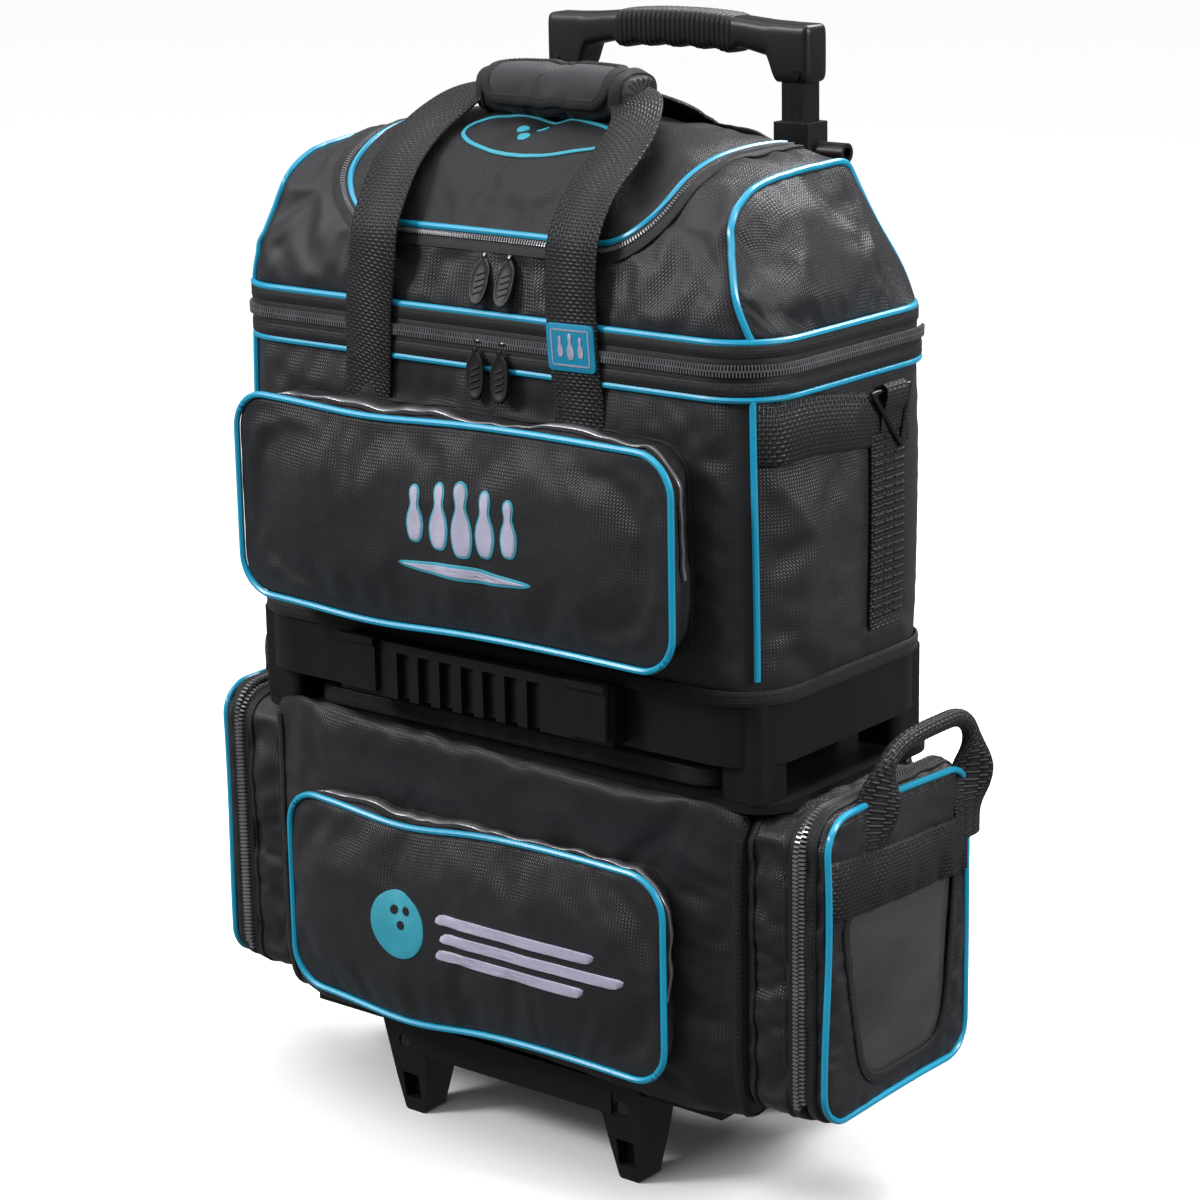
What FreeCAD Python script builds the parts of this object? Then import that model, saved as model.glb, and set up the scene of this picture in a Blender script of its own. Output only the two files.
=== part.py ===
import FreeCAD, Part
import os
import re

import Sketcher
from FreeCAD import Rotation, Vector

# Rolling bowling bag: a ball tote that lifts off a wheeled lower bag.
# Frame: millimetres, +Z up, +X to the bag's right as seen from its front, the front faces -Y.
# The origin is on the floor, under the centre of the bag's bounding box.

DIMENSIONS = {
    # tote, the removable upper bag
    "tote_half": 245,
    "tote_front": -127,
    "tote_rear": 98,
    "corner_radius": 45,
    "fabric": 4,
    "tray_low": 352,
    "tray_high": 399,
    "tray_wall": 3,
    "zip_height": 634,
    "lid_band_high": 653,
    "shoulder_high": 757,
    "shoulder_half": 205,
    "shoulder_front": -88,
    "shoulder_rear": 45,
    "dome_high": 777,
    "dome_half": 160,
    "dome_front": -60,
    "dome_rear": 32,
    "flap_half": 145,
    "flap_low": 705,
    "flap_hinge_y": 28,
    # lower bag
    "lower_half": 226,
    "lower_front": -124,
    "lower_rear": 100,
    "lower_bottom": 88,
    "lower_top": 317.5,
    "end_front": -113,
    "end_rear": 71,
    "end_top": 316,
    "door_plane": 272,
    "end_face": 293,
    "door_low": 92,
    "door_high": 322,
    "skin": 3,
    "deck_low": 318,
    "deck_high": 325,
    "ball_radius": 108,
    # wheels and rear housing
    "wheel_radius": 63.5,
    "wheel_x": 140,
    "wheel_y": 111,
    "tyre_width": 30,
    "rim_radius": 52,
    "bearing_radius": 11,
    "axle_radius": 4,
    "arch_inner": 69.5,
    "arch_outer": 72.7,
    # telescoping pull handle
    "post_x": 108,
    "post_y": 119,
    "inner_tube": 20,
    "outer_tube": 26,
    "tube_wall": 2.4,
    "collar_low": 736,
    "collar_high": 770,
    "grip_low": 799,
    "grip_high": 847,
    "grip_half": 123.5,
    "grip_depth": 28,
    # accessory pockets
    "upper_half": 205,
    "upper_front": -174.5,
    "upper_low": 427,
    "upper_high": 580,
    "lower_pocket_half": 182,
    "lower_pocket_front": -160,
    "lower_pocket_low": 112,
    "lower_pocket_high": 268,
    "pocket_slit": 6,
    # webbing
    "webbing_width": 44,
    "webbing_thick": 2.5,
    "front_strap_x": 92,
    "back_strap_x": 71,
    "ring_wire": 2,
    "ring_height": 600,
    "gap": 0.5,
}

WORD = re.compile(r"[a-z]+(?:_[a-z]+)*")
document = FreeCAD.newDocument("rolling_bowling_bag")
sheet = document.addObject("Spreadsheet::Sheet", "dims")
for row, (alias, number) in enumerate(DIMENSIONS.items(), start=1):
    sheet.set(f"A{row}", alias)
    sheet.set(f"B{row}", str(number))
    sheet.setAlias(f"B{row}", alias)
document.recompute()

nodes = []


def bound(formula):
    """Write a formula of sheet aliases as an expression."""
    return WORD.sub(lambda word: f"dims.{word[0]}" if word[0] in DIMENSIONS else word[0], str(formula))


def number(formula):
    """The value of a formula of sheet aliases."""
    return float(sheet.evalExpression(bound(formula)))


def bind(item, **formulas):
    for name, formula in formulas.items():
        item.setExpression(name.replace("__", "."), bound(formula))


def node(item, name):
    """Register a finished sub-part under its node name."""
    item.Label = name
    nodes.append(item)
    return item


# ---------------------------------------------------------------- Part primitives and booleans


def block(name, x, y, z):
    """A box from its lowest to its highest value on each axis."""
    item = document.addObject("Part::Box", name)
    bind(item, Length=f"({x[1]}) - ({x[0]})", Width=f"({y[1]}) - ({y[0]})", Height=f"({z[1]}) - ({z[0]})")
    bind(item, Placement__Base__x=x[0], Placement__Base__y=y[0], Placement__Base__z=z[0])
    return item


def rod(name, start, length, radius, direction):
    """A cylinder that runs from start along direction."""
    item = document.addObject("Part::Cylinder", name)
    item.Placement.Rotation = Rotation(Vector(0, 0, 1), Vector(*direction))
    bind(item, Radius=radius, Height=length)
    bind(item, Placement__Base__x=start[0], Placement__Base__y=start[1], Placement__Base__z=start[2])
    return item


def ball(name, centre, radius):
    item = document.addObject("Part::Sphere", name)
    bind(item, Radius=radius)
    bind(item, Placement__Base__x=centre[0], Placement__Base__y=centre[1], Placement__Base__z=centre[2])
    return item


def joined(name, pieces):
    item = document.addObject("Part::MultiFuse", name)
    item.Shapes = pieces
    return item


def removed(name, base, tools):
    item = document.addObject("Part::Cut", name)
    item.Base = base
    item.Tool = tools[0] if len(tools) == 1 else joined(name + "_tools", tools)
    return item


def shared(name, first, second):
    item = document.addObject("Part::Common", name)
    item.Base = first
    item.Tool = second
    return item


def grouped(name, pieces):
    """Separate solids that share one node."""
    item = document.addObject("Part::Compound", name)
    item.Links = pieces
    return item


# ---------------------------------------------------------------- sketched bodies


def new_body(name):
    return document.addObject("PartDesign::Body", name)


def sketch_on(body, role, offset):
    """An empty sketch on one of the body's origin planes, moved along the plane's normal."""
    sketch = body.newObject("Sketcher::SketchObject", body.Name + "_sketch")
    plane = next(item for item in body.Origin.OriginFeatures if item.Role == role)
    sketch.AttachmentSupport = (plane, [""])
    sketch.MapMode = "FlatFace"
    bind(sketch, AttachmentOffset__Base__z=offset)
    return sketch


def polygon(sketch, corners):
    """Draw a closed polygon whose corners are bound to the sheet."""
    points = [Vector(number(across), number(up), 0) for across, up in corners]
    count = len(points)
    for index in range(count):
        sketch.addGeometry(Part.LineSegment(points[index], points[(index + 1) % count]), False)
    for index in range(count):
        sketch.addConstraint(Sketcher.Constraint("Coincident", index, 2, (index + 1) % count, 1))
    for index, (across, up) in enumerate(corners):
        point = points[index]
        for kind, formula, place in (("DistanceX", across, point.x), ("DistanceY", up, point.y)):
            constraint = sketch.addConstraint(Sketcher.Constraint(kind, -1, 1, index, 1, place))
            sketch.setExpression(f"Constraints[{constraint}]", bound(formula))


def outline(body, role, corners, offset="0"):
    """A polygon on one of the body's origin planes."""
    sketch = sketch_on(body, role, offset)
    polygon(sketch, corners)
    return sketch


def circle(body, role, centre, radius, offset="0"):
    """A circle whose centre and radius are bound to the sheet."""
    sketch = sketch_on(body, role, offset)
    middle = Vector(number(centre[0]), number(centre[1]), 0)
    sketch.addGeometry(Part.Circle(middle, Vector(0, 0, 1), number(radius)), False)
    terms = (("DistanceX", centre[0], middle.x), ("DistanceY", centre[1], middle.y))
    for kind, formula, place in terms:
        constraint = sketch.addConstraint(Sketcher.Constraint(kind, -1, 1, 0, 3, place))
        sketch.setExpression(f"Constraints[{constraint}]", bound(formula))
    constraint = sketch.addConstraint(Sketcher.Constraint("Radius", 0, number(radius)))
    sketch.setExpression(f"Constraints[{constraint}]", bound(radius))
    return sketch


def feature(body, kind, sketch, **formulas):
    item = body.newObject("PartDesign::" + kind, f"{body.Name}_{kind}")
    item.Profile = sketch
    bind(item, **formulas)
    return item


def pad(body, sketch, length, symmetric=False):
    item = feature(body, "Pad", sketch, Length=length)
    if symmetric:
        item.SideType = "Symmetric"
    document.recompute()
    return item


def pocket(body, sketch, length, backwards=False):
    """Cut a sketch into the body, and make sure that something was cut away."""
    before = body.Shape.Volume
    item = feature(body, "Pocket", sketch, Length=length)
    item.Reversed = backwards
    document.recompute()
    if body.Shape.Volume > before - 1:
        raise RuntimeError(f"{item.Name} cuts nothing")
    return item


def revolved(body, sketch, axis):
    item = feature(body, "Revolution", sketch)
    item.ReferenceAxis = (sketch, [axis])
    item.Angle = 360
    document.recompute()
    return item


def loft(body, kind, sketches):
    item = body.newObject("PartDesign::" + kind, f"{body.Name}_{kind}")
    item.Profile = sketches[0]
    item.Sections = sketches[1:]
    item.Ruled = True
    document.recompute()
    return item


def rounded(body, radius, chosen):
    """Fillet the body's edges that the test chooses."""
    tip = body.Tip
    names = [f"Edge{index}" for index, edge in enumerate(tip.Shape.Edges, start=1) if chosen(edge)]
    item = body.newObject("PartDesign::Fillet", body.Name + "_Fillet")
    item.Base = (tip, names)
    bind(item, Radius=radius)
    document.recompute()
    return item


def along(axis):
    """A test for straight edges that run along one axis."""
    def chosen(edge):
        if not isinstance(edge.Curve, Part.Line):
            return False
        return abs(edge.Curve.Direction.dot(Vector(*axis))) > 0.999
    return chosen


def rectangle(low_x, high_x, low_y, high_y):
    return [(low_x, low_y), (high_x, low_y), (high_x, high_y), (low_x, high_y)]


def slab(name, corners, x_low, x_high):
    """A profile in the YZ plane, padded along X."""
    body = new_body(name)
    pad(body, outline(body, "YZ_Plane", corners, x_low), f"({x_high}) - ({x_low})")
    return body


def pair(name, corners, centre, width):
    """The same YZ profile on the left and on the right, as one node."""
    sides = []
    for word, middle in (("left", f"-({centre})"), ("right", centre)):
        across = (f"{middle} - ({width}) / 2", f"{middle} + ({width}) / 2")
        sides.append(slab(f"{name}_{word}", corners, *across))
    return grouped(name, sides)


SIDES = (("left", -1), ("right", 1))


def span(side, low, high):
    """A stretch of X on the left or the right side, as (lowest, highest)."""
    if side > 0:
        return (low, high)
    return (f"-({high})", f"-({low})")


# ---------------------------------------------------------------- lower bag and its base


def base_frame():
    """Moulded pan under the lower bag, with the two front legs and the bar between them."""
    pan = block("base_pan", ("-200", "200"), ("-112", "36"), ("lower_bottom - 12", "lower_bottom - gap"))
    bar = block("base_bar", ("-100", "100"), ("-116", "-98"), ("56", "lower_bottom - 6"))
    pieces = [pan, bar]
    for word, side in SIDES:
        body = new_body("leg_" + word)
        front = [(f"{side} * 84", "lower_bottom - 6"), (f"{side} * 128", "lower_bottom - 6"),
                 (f"{side} * 122", "30"), (f"{side} * 117", "0"),
                 (f"{side} * 98", "0"), (f"{side} * 92", "30")]
        pad(body, outline(body, "XZ_Plane", front, "70"), "50")
        rounded(body, "3", along((0, 1, 0)))
        slope = [("-118", "90"), ("-104", "-1"), ("-80", "-1"), ("-66", "90")]
        lean = slab("leg_lean_" + word, slope, "-150", "150")
        leg = shared("leg_shape_" + word, body, lean)
        window = block("leg_window_" + word, span(side, "99", "115"), ("-130", "-97"), ("12", "34"))
        bore = rod("leg_bore_" + word, (f"{side} * 108", "-125", "62"), "26", "3.2", (0, 1, 0))
        sink = rod("leg_sink_" + word, (f"{side} * 108", "-125", "62"), "15", "6", (0, 1, 0))
        pieces.append(removed("leg_cut_" + word, leg, [window, bore, sink]))
    node(joined("base_frame", pieces), "base_frame")


def leg_screws():
    screws = []
    for word, side in SIDES:
        shank = rod("leg_shank_" + word, (f"{side} * 108", "-110", "62"), "10", "3", (0, 1, 0))
        head = rod("leg_head_" + word, (f"{side} * 108", "-112.6", "62"), "2.6", "5.5", (0, 1, 0))
        screws.append(joined("leg_screw_" + word, [shank, head]))
    node(grouped("leg_screws", screws), "leg_screws")


def wheel_housing():
    """Arched rear moulding that covers the wheels, carries the axle and seats the handle tubes."""
    axis = ("-189", "wheel_y", "wheel_radius")
    ring = removed("arch_ring", rod("arch_solid", axis, "378", "arch_outer", (1, 0, 0)),
                   [rod("arch_void", ("-190", "wheel_y", "wheel_radius"), "380", "arch_inner", (1, 0, 0))])
    window = block("arch_window", ("-189", "189"), ("37", "130"), ("74", "140"))
    pieces = [shared("arch", ring, window)]
    for word, side in SIDES:
        for place, low, high in (("inner", "108", "118"), ("outer", "162", "172")):
            disc_start = f"{side} * ({low}) - {5 * (1 - side)}"
            disc = rod(f"bracket_disc_{place}_{word}", (disc_start, "wheel_y", "wheel_radius"), "10",
                       "arch_inner + 0.6", (1, 0, 0))
            window = block(f"bracket_window_{place}_{word}", span(side, low, high), ("84", "128"),
                           ("50", "138"))
            pieces.append(shared(f"bracket_{place}_{word}", disc, window))
        seat = block("tube_seat_" + word, span(side, "93", "123"), ("104", "134"), ("124", "136.4"))
        void = rod("seat_void_" + word, axis, "378", "arch_inner", (1, 0, 0))
        pieces.append(removed("seat_" + word, seat, [void]))
    bore = rod("axle_bore", ("-180", "wheel_y", "wheel_radius"), "360", "axle_radius + 0.1", (1, 0, 0))
    node(removed("wheel_housing", joined("housing_pieces", pieces), [bore]), "wheel_housing")


def axle():
    """Steel rod with a pressed cap at each end and a spacer on each side of both wheels."""
    line = ("-176", "wheel_y", "wheel_radius")
    pieces = [rod("axle_rod", line, "352", "axle_radius", (1, 0, 0))]
    sleeves = (("inner", "118.3", "124.6"), ("outer", "155.4", "161.7"), ("cap", "172.4", "177"))
    for word, side in SIDES:
        for place, low, high in sleeves:
            start = f"{side} * ({low if side > 0 else high})"
            sleeve = rod(f"{place}_sleeve_{word}", (start, "wheel_y", "wheel_radius"), f"({high}) - ({low})",
                         "axle_radius + 3", (1, 0, 0))
            pieces.append(sleeve)
    node(joined("axle", pieces), "axle")


def wheels():
    """Cast urethane tyre on a spoked hub that turns on two ball bearings."""
    for word, side in SIDES:
        centre = f"{side} * wheel_x"
        body = new_body("tyre_" + word)
        half = "tyre_width / 2"
        profile = [(f"{centre} - {half}", "wheel_radius + rim_radius"),
                   (f"{centre} + {half}", "wheel_radius + rim_radius"),
                   (f"{centre} + {half}", "2 * wheel_radius - 5"),
                   (f"{centre} + {half} - 5", "2 * wheel_radius"),
                   (f"{centre} - {half} + 5", "2 * wheel_radius"),
                   (f"{centre} - {half}", "2 * wheel_radius - 5")]
        turn(body, profile)
        node(body, "tyre_" + word)

        body = new_body("hub_" + word)
        rim = "wheel_radius + rim_radius"
        bore = "wheel_radius + bearing_radius"
        profile = [(f"{centre} - 13", bore), (f"{centre} + 13", bore), (f"{centre} + 13", f"{bore} + 6"),
                   (f"{centre} + 3", f"{bore} + 8"), (f"{centre} + 3", f"{rim} - 5"),
                   (f"{centre} + 13", f"{rim} - 4"), (f"{centre} + 13", rim), (f"{centre} - 13", rim),
                   (f"{centre} - 13", f"{rim} - 4"), (f"{centre} - 3", f"{rim} - 5"),
                   (f"{centre} - 3", f"{bore} + 8"), (f"{centre} - 13", f"{bore} + 6")]
        turn(body, profile)
        hole = circle(body, "YZ_Plane", ("wheel_y", "wheel_radius + 33"), "5.2", f"{centre} + 10")
        cut = pocket(body, hole, "20")
        pattern = body.newObject("PartDesign::PolarPattern", "spokes_" + word)
        pattern.Originals = [cut]
        pattern.Axis = (axis_sketch(body), ["N_Axis"])
        pattern.Angle = 360
        pattern.Occurrences = 6
        body.Tip = pattern
        document.recompute()
        node(body, "hub_" + word)

        rings = []
        for place, low in (("near", f"{centre} - 13"), ("far", f"{centre} + 6")):
            start = (low, "wheel_y", "wheel_radius")
            outer = rod(f"bearing_solid_{place}_{word}", start, "7", "bearing_radius", (1, 0, 0))
            inner = rod(f"bearing_bore_{place}_{word}", start, "7", "axle_radius + 0.05", (1, 0, 0))
            rings.append(removed(f"bearing_ring_{place}_{word}", outer, [inner]))
        node(grouped("bearings_" + word, rings), "bearings_" + word)


def turn(body, profile):
    """Revolve a profile in the XZ plane at the axle's place, about the axle's line."""
    sketch = sketch_on(body, "XZ_Plane", "-wheel_y")
    polygon(sketch, profile)
    level = number("wheel_radius")
    axis = sketch.addGeometry(Part.LineSegment(Vector(-10, level, 0), Vector(10, level, 0)), True)
    for kind, point, formula in (("DistanceX", 1, "-10"), ("DistanceX", 2, "10"),
                                 ("DistanceY", 1, "wheel_radius"), ("DistanceY", 2, "wheel_radius")):
        constraint = sketch.addConstraint(Sketcher.Constraint(kind, -1, 1, axis, point, number(formula)))
        sketch.setExpression(f"Constraints[{constraint}]", bound(formula))
    return revolved(body, sketch, "Axis0")


def axis_sketch(body):
    """A sketch whose normal is the axle's line, for a pattern about it."""
    sketch = sketch_on(body, "YZ_Plane", "0")
    bind(sketch, AttachmentOffset__Base__x="wheel_y", AttachmentOffset__Base__y="wheel_radius")
    sketch.addGeometry(Part.Circle(Vector(0, 0, 0), Vector(0, 0, 1), 5), True)
    return sketch


def lower_shell():
    """Fabric well for two balls, open at the top and arched over the wheels."""
    body = new_body("well_outside")
    pad(body, outline(body, "XY_Plane", rectangle("-lower_half", "lower_half", "lower_front", "lower_rear"),
                      "lower_bottom"), "lower_top - lower_bottom")
    rounded(body, "20", along((0, 0, 1)))
    rounded(body, "10", lambda edge: edge.BoundBox.ZMax < number("lower_bottom") + 0.1)
    start = ("-190", "wheel_y", "wheel_radius")
    outer_arch = rod("well_arch", start, "380", "arch_outer + gap", (1, 0, 0))
    start = ("-194", "wheel_y", "wheel_radius")
    inner_arch = rod("well_arch_inside", start, "388", "arch_outer + skin", (1, 0, 0))
    inside = block("well_inside", ("fabric - lower_half", "lower_half - fabric"),
                   ("lower_front + fabric", "lower_rear - fabric"),
                   ("lower_bottom + fabric", "lower_top + 5"))
    cavity = removed("well_cavity", inside, [inner_arch])
    node(removed("lower_shell", body, [outer_arch, cavity]), "lower_shell")


def foam_cup(name, low, high, half, front, rear, pitch, radius, centre_height):
    """Foam bed with a round dip for each ball."""
    body = new_body(name + "_bed")
    plan = rectangle(f"-({half})", half, front, rear)
    pad(body, outline(body, "XY_Plane", plan, low), f"({high}) - ({low})")
    rounded(body, "corner_radius - fabric", along((0, 0, 1)))
    dips = []
    for word, side in SIDES:
        middle = (f"{side} * ({pitch})", f"(({front}) + ({rear})) / 2", centre_height)
        dips.append(ball(f"{name}_dip_{word}", middle, radius))
    node(removed(name, body, dips), name)


def lower_deck():
    """Hard top of the lower bag, which the tote stands on."""
    body = new_body("deck")
    pad(body, outline(body, "XY_Plane", rectangle("-250", "250", "-119", "tote_rear - 1"), "deck_low"),
        "deck_high - deck_low")
    rounded(body, "30", along((0, 0, 1)))
    dish = rectangle("-185", "185", "-90", "70")
    pocket(body, outline(body, "XY_Plane", dish, "deck_high"), "3")
    node(body, "deck")


def hollow_box(name, x, y, z, mouth):
    """Box of cloth: the mouth names the side that is left open."""
    low = [x[0], y[0], z[0]]
    high = [x[1], y[1], z[1]]
    inner_low = [f"{value} + skin" for value in low]
    inner_high = [f"{value} - skin" for value in high]
    side, axis = mouth
    if side < 0:
        inner_low[axis] = f"{low[axis]} - 5"
    else:
        inner_high[axis] = f"{high[axis]} + 5"
    inner = [(inner_low[index], inner_high[index]) for index in range(3)]
    return removed(name, block(name + "_outside", x, y, z), [block(name + "_inside", *inner)])


def end_pockets():
    """Shoe pockets at both ends, each closed by a zipped door with a clear window."""
    y_range = ("end_front", "end_rear")
    for word, side in SIDES:
        across = span(side, "lower_half + gap", "door_plane")
        item = hollow_box("end_pocket_" + word, across, y_range, ("lower_bottom + 2", "end_top"), (side, 0))
        node(item, "end_pocket_" + word)

        across = span(side, "door_plane + gap", "end_face")
        door = hollow_box("door_shell_" + word, across, y_range, ("door_low", "door_high"), (-side, 0))
        window = block("door_hole_" + word, span(side, "end_face - 10", "end_face + 5"), ("-80", "46"),
                       ("122", "238"))
        node(removed("door_" + word, door, [window]), "door_" + word)

        pane = block("pane_" + word, span(side, "end_face - 2", "end_face - 1"), ("-79.8", "45.8"),
                     ("122.2", "237.8"))
        node(pane, "window_" + word)

        arch = new_body("grab_arch_" + word)
        edge = f"{side} * (end_face + 2.5)"
        band = [("-66", "319"), ("-60", "345"), ("-42", "366"), ("40", "372"), ("66", "352"), ("72", "319"),
                ("34", "319"), ("34", "342"), ("24", "352"), ("-24", "349"), ("-30", "340"), ("-30", "319")]
        pad(arch, outline(arch, "YZ_Plane", band, f"{edge} - 2"), "4")
        rounded(arch, "3", along((1, 0, 0)))
        grip = rod("grab_grip_" + word, (edge, "-34", "358"), "66", "9", (0, 1, 0.03))
        node(joined("grab_handle_" + word, [arch, grip]), "grab_handle_" + word)


def lower_pocket():
    """Zipped accessory pocket on the front of the lower bag."""
    box = hollow_box("lower_pocket_shell", ("-lower_pocket_half", "lower_pocket_half"),
                     ("lower_pocket_front", "lower_front"), ("lower_pocket_low", "lower_pocket_high"), (1, 1))
    slit = block("lower_pocket_slit", ("25 - lower_pocket_half", "lower_pocket_half - 25"),
                 ("lower_front - 18", "lower_front - 18 + pocket_slit"),
                 ("lower_pocket_high - 10", "lower_pocket_high + 5"))
    node(removed("lower_pocket", box, [slit]), "lower_pocket")


# ---------------------------------------------------------------- pull handle


def square_tube(name, centre, side, wall, low, high):
    half = f"({side}) / 2"
    void = f"({side}) / 2 - ({wall})"
    outside = block(name + "_outside", (f"{centre} - {half}", f"{centre} + {half}"),
                    (f"post_y - {half}", f"post_y + {half}"), (low, high))
    inside = block(name + "_inside", (f"{centre} - ({void})", f"{centre} + ({void})"),
                   (f"post_y - ({void})", f"post_y + ({void})"), (f"{low} - 5", f"{high} + 5"))
    return removed(name, outside, [inside])


def handle_tubes():
    for word, side in SIDES:
        centre = f"{side} * post_x"
        node(square_tube("tube_" + word, centre, "outer_tube", "tube_wall", "136.6", "collar_low - 0.2"),
             "tube_" + word)
        node(square_tube("inner_tube_" + word, centre, "inner_tube", "1.5", "166", "grip_low + 3"),
             "inner_tube_" + word)
        body = new_body("collar_block_" + word)
        pad(body, outline(body, "XY_Plane", rectangle(f"{centre} - 16.5", f"{centre} + 16.5",
                                                      "post_y - 14", "post_y + 14"), "collar_low"),
            "collar_high - collar_low")
        rounded(body, "4", along((0, 0, 1)))
        void = "(inner_tube / 2 + 0.4)"
        pocket(body, outline(body, "XY_Plane", rectangle(f"{centre} - {void}", f"{centre} + {void}",
                                                         f"post_y - ({void})", f"post_y + ({void})"),
                             "collar_high"), "collar_high - collar_low + 5")
        node(body, "collar_" + word)


def pull_grip():
    """Moulded crossbar of the pull handle, its ribbed sleeve and its screws."""
    body = new_body("grip_bar")
    arch = [("93", "grip_low"), ("88", "814"), ("76", "824"), ("62", "826")]
    profile = [("-grip_half", "grip_low")] + [(f"-{across}", up) for across, up in arch] + arch[::-1]
    profile += [("grip_half", "grip_low"), ("grip_half", "grip_high"), ("-grip_half", "grip_high")]
    pad(body, outline(body, "XZ_Plane", profile, "-post_y"), "grip_depth", symmetric=True)
    rounded(body, "12", lambda edge: along((0, 1, 0))(edge) and edge.BoundBox.ZMin > 840)
    sockets = []
    for word, side in SIDES:
        reach = "(inner_tube / 2 + 0.1)"
        across = (f"{side} * post_x - {reach}", f"{side} * post_x + {reach}")
        sockets.append(block("tube_socket_" + word, across, (f"post_y - {reach}", f"post_y + {reach}"),
                             ("grip_low - 5", "grip_low + 3.1")))
    node(removed("grip", body, sockets), "grip")

    outside = new_body("sleeve_outside")
    profile = rectangle("post_y - 16.5", "post_y + 16.5", "822", "850")
    pad(outside, outline(outside, "YZ_Plane", profile, "-58"), "116")
    rounded(outside, "6", along((1, 0, 0)))
    inside = block("sleeve_inside", ("-60", "60"), ("post_y - 14.1", "post_y + 14.1"),
                   ("825.9", "grip_high + 0.1"))
    node(removed("grip_sleeve", outside, [inside]), "grip_sleeve")

    screws = []
    for word, side in SIDES:
        start = (f"{side} * 114", "post_y - 15.2", "806")
        screws.append(rod("grip_screw_" + word, start, "1.2", "3.6", (0, 1, 0)))
    node(grouped("grip_screws", screws), "grip_screws")


def release_pin():
    """Hollow round stub at the side of the right collar, which unlocks the tubes."""
    start = ("post_x + 17", "post_y", "749")
    outside = rod("pin_outside", start, "25", "7.5", (1, 0, 0))
    mouth = rod("pin_mouth", ("post_x + 30", "post_y", "749"), "20", "4.5", (1, 0, 0))
    node(removed("release_pin", outside, [mouth]), "release_pin")


# ---------------------------------------------------------------- tote


def tote_outline(body, inset, height):
    """Plan of the tote, moved in by an inset."""
    corners = rectangle(f"({inset}) - tote_half", f"tote_half - ({inset})", f"tote_front + ({inset})",
                        f"tote_rear - ({inset})")
    return outline(body, "XY_Plane", corners, height)


def tray():
    """Moulded foot tray under the tote, with four feet and a ribbed panel at its front."""
    outside = new_body("tray_outside")
    pad(outside, tote_outline(outside, "0", "tray_low"), "tray_high - tray_low")
    rounded(outside, "corner_radius", along((0, 0, 1)))
    inside = new_body("tray_inside")
    pad(inside, tote_outline(inside, "tray_wall", "tray_low - 5"), "tray_high - tray_low + 5 - tray_wall")
    rounded(inside, "corner_radius - tray_wall", along((0, 0, 1)))
    pieces = [removed("tray_pan", outside, [inside])]
    for word, side in SIDES:
        for place, low, high in (("front", "tote_front + 9", "tote_front + 46"), ("rear", "tote_rear - 46",
                                                                                  "tote_rear - 9")):
            body = new_body(f"foot_{place}_{word}")
            across = span(side, "203", "240")
            plan = rectangle(across[0], across[1], low, high)
            pad(body, outline(body, "XY_Plane", plan, "deck_high + 0.4"), "tray_high - deck_high - 2")
            rounded(body, "8", along((0, 0, 1)))
            pieces.append(body)
    panel = block("rib_panel", ("-130", "130"), ("-145", "tote_front + 1"), ("356", "tray_high"))
    slots = [block(f"rib_slot_{index}", (f"{-74 + 21 * index}", f"{-62 + 21 * index}"), ("-150", "-139"),
                   ("350", "392")) for index in range(7)]
    pieces.append(removed("rib_panel_cut", panel, slots))
    node(joined("tray", pieces), "tray")


def latches():
    """Sprung paddles at both ends of the ribbed panel."""
    for word, side in SIDES:
        across = span(side, "92", "128")
        body = new_body("paddle_" + word)
        profile = [("-145.6", "360"), ("-145.6", "402"), ("-152", "402"), ("-152", "397"), ("-149.5", "394"),
                   ("-149.5", "360")]
        pad(body, outline(body, "YZ_Plane", profile, across[0]), f"({across[1]}) - ({across[0]})")
        node(body, "latch_" + word)


def tote_shell():
    """Fabric walls and floor of the tote, open at the zip line."""
    outside = new_body("tote_outside")
    pad(outside, tote_outline(outside, "0", "tray_high + 0.2"), "zip_height - tray_high - 0.2")
    rounded(outside, "corner_radius", along((0, 0, 1)))
    inside = new_body("tote_inside")
    pad(inside, tote_outline(inside, "fabric", "tray_high + fabric"), "zip_height - tray_high")
    rounded(inside, "corner_radius - fabric", along((0, 0, 1)))
    node(removed("tote_shell", outside, [inside]), "tote_shell")


def upper_pocket():
    """Zipped accessory pocket on the front of the tote."""
    box = hollow_box("upper_pocket_shell", ("-upper_half", "upper_half"), ("upper_front", "tote_front"),
                     ("upper_low", "upper_high"), (1, 1))
    slit = block("upper_pocket_slit", ("25 - upper_half", "upper_half - 25"),
                 ("tote_front - 24", "tote_front - 24 + pocket_slit"), ("upper_high - 10", "upper_high + 5"))
    node(removed("upper_pocket", box, [slit]), "upper_pocket")


def side_webbing():
    """Belt, ladder webbing and ring loop on each side of the tote."""
    for word, side in SIDES:
        face = "tote_half + 0.2"
        depth = span(side, face, f"{face} + webbing_thick")
        belt = block("belt_" + word, depth, ("-80", "51"), ("565", "607"))
        ladder = block("ladder_" + word, depth, ("3", "47"), ("428", "566"))
        loop = block("loop_" + word, span(side, f"{face} + 2", "tote_half + 12"), ("14", "41"),
                     ("ring_height - 5", "ring_height + 5"))
        start = (f"{side} * (tote_half + 7)", "0", "ring_height")
        bore = rod("loop_bore_" + word, start, "60", "ring_wire + 0.8", (0, 1, 0))
        node(removed("side_webbing_" + word, joined("webbing_" + word, [belt, ladder, loop]), [bore]),
             "side_webbing_" + word)


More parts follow.
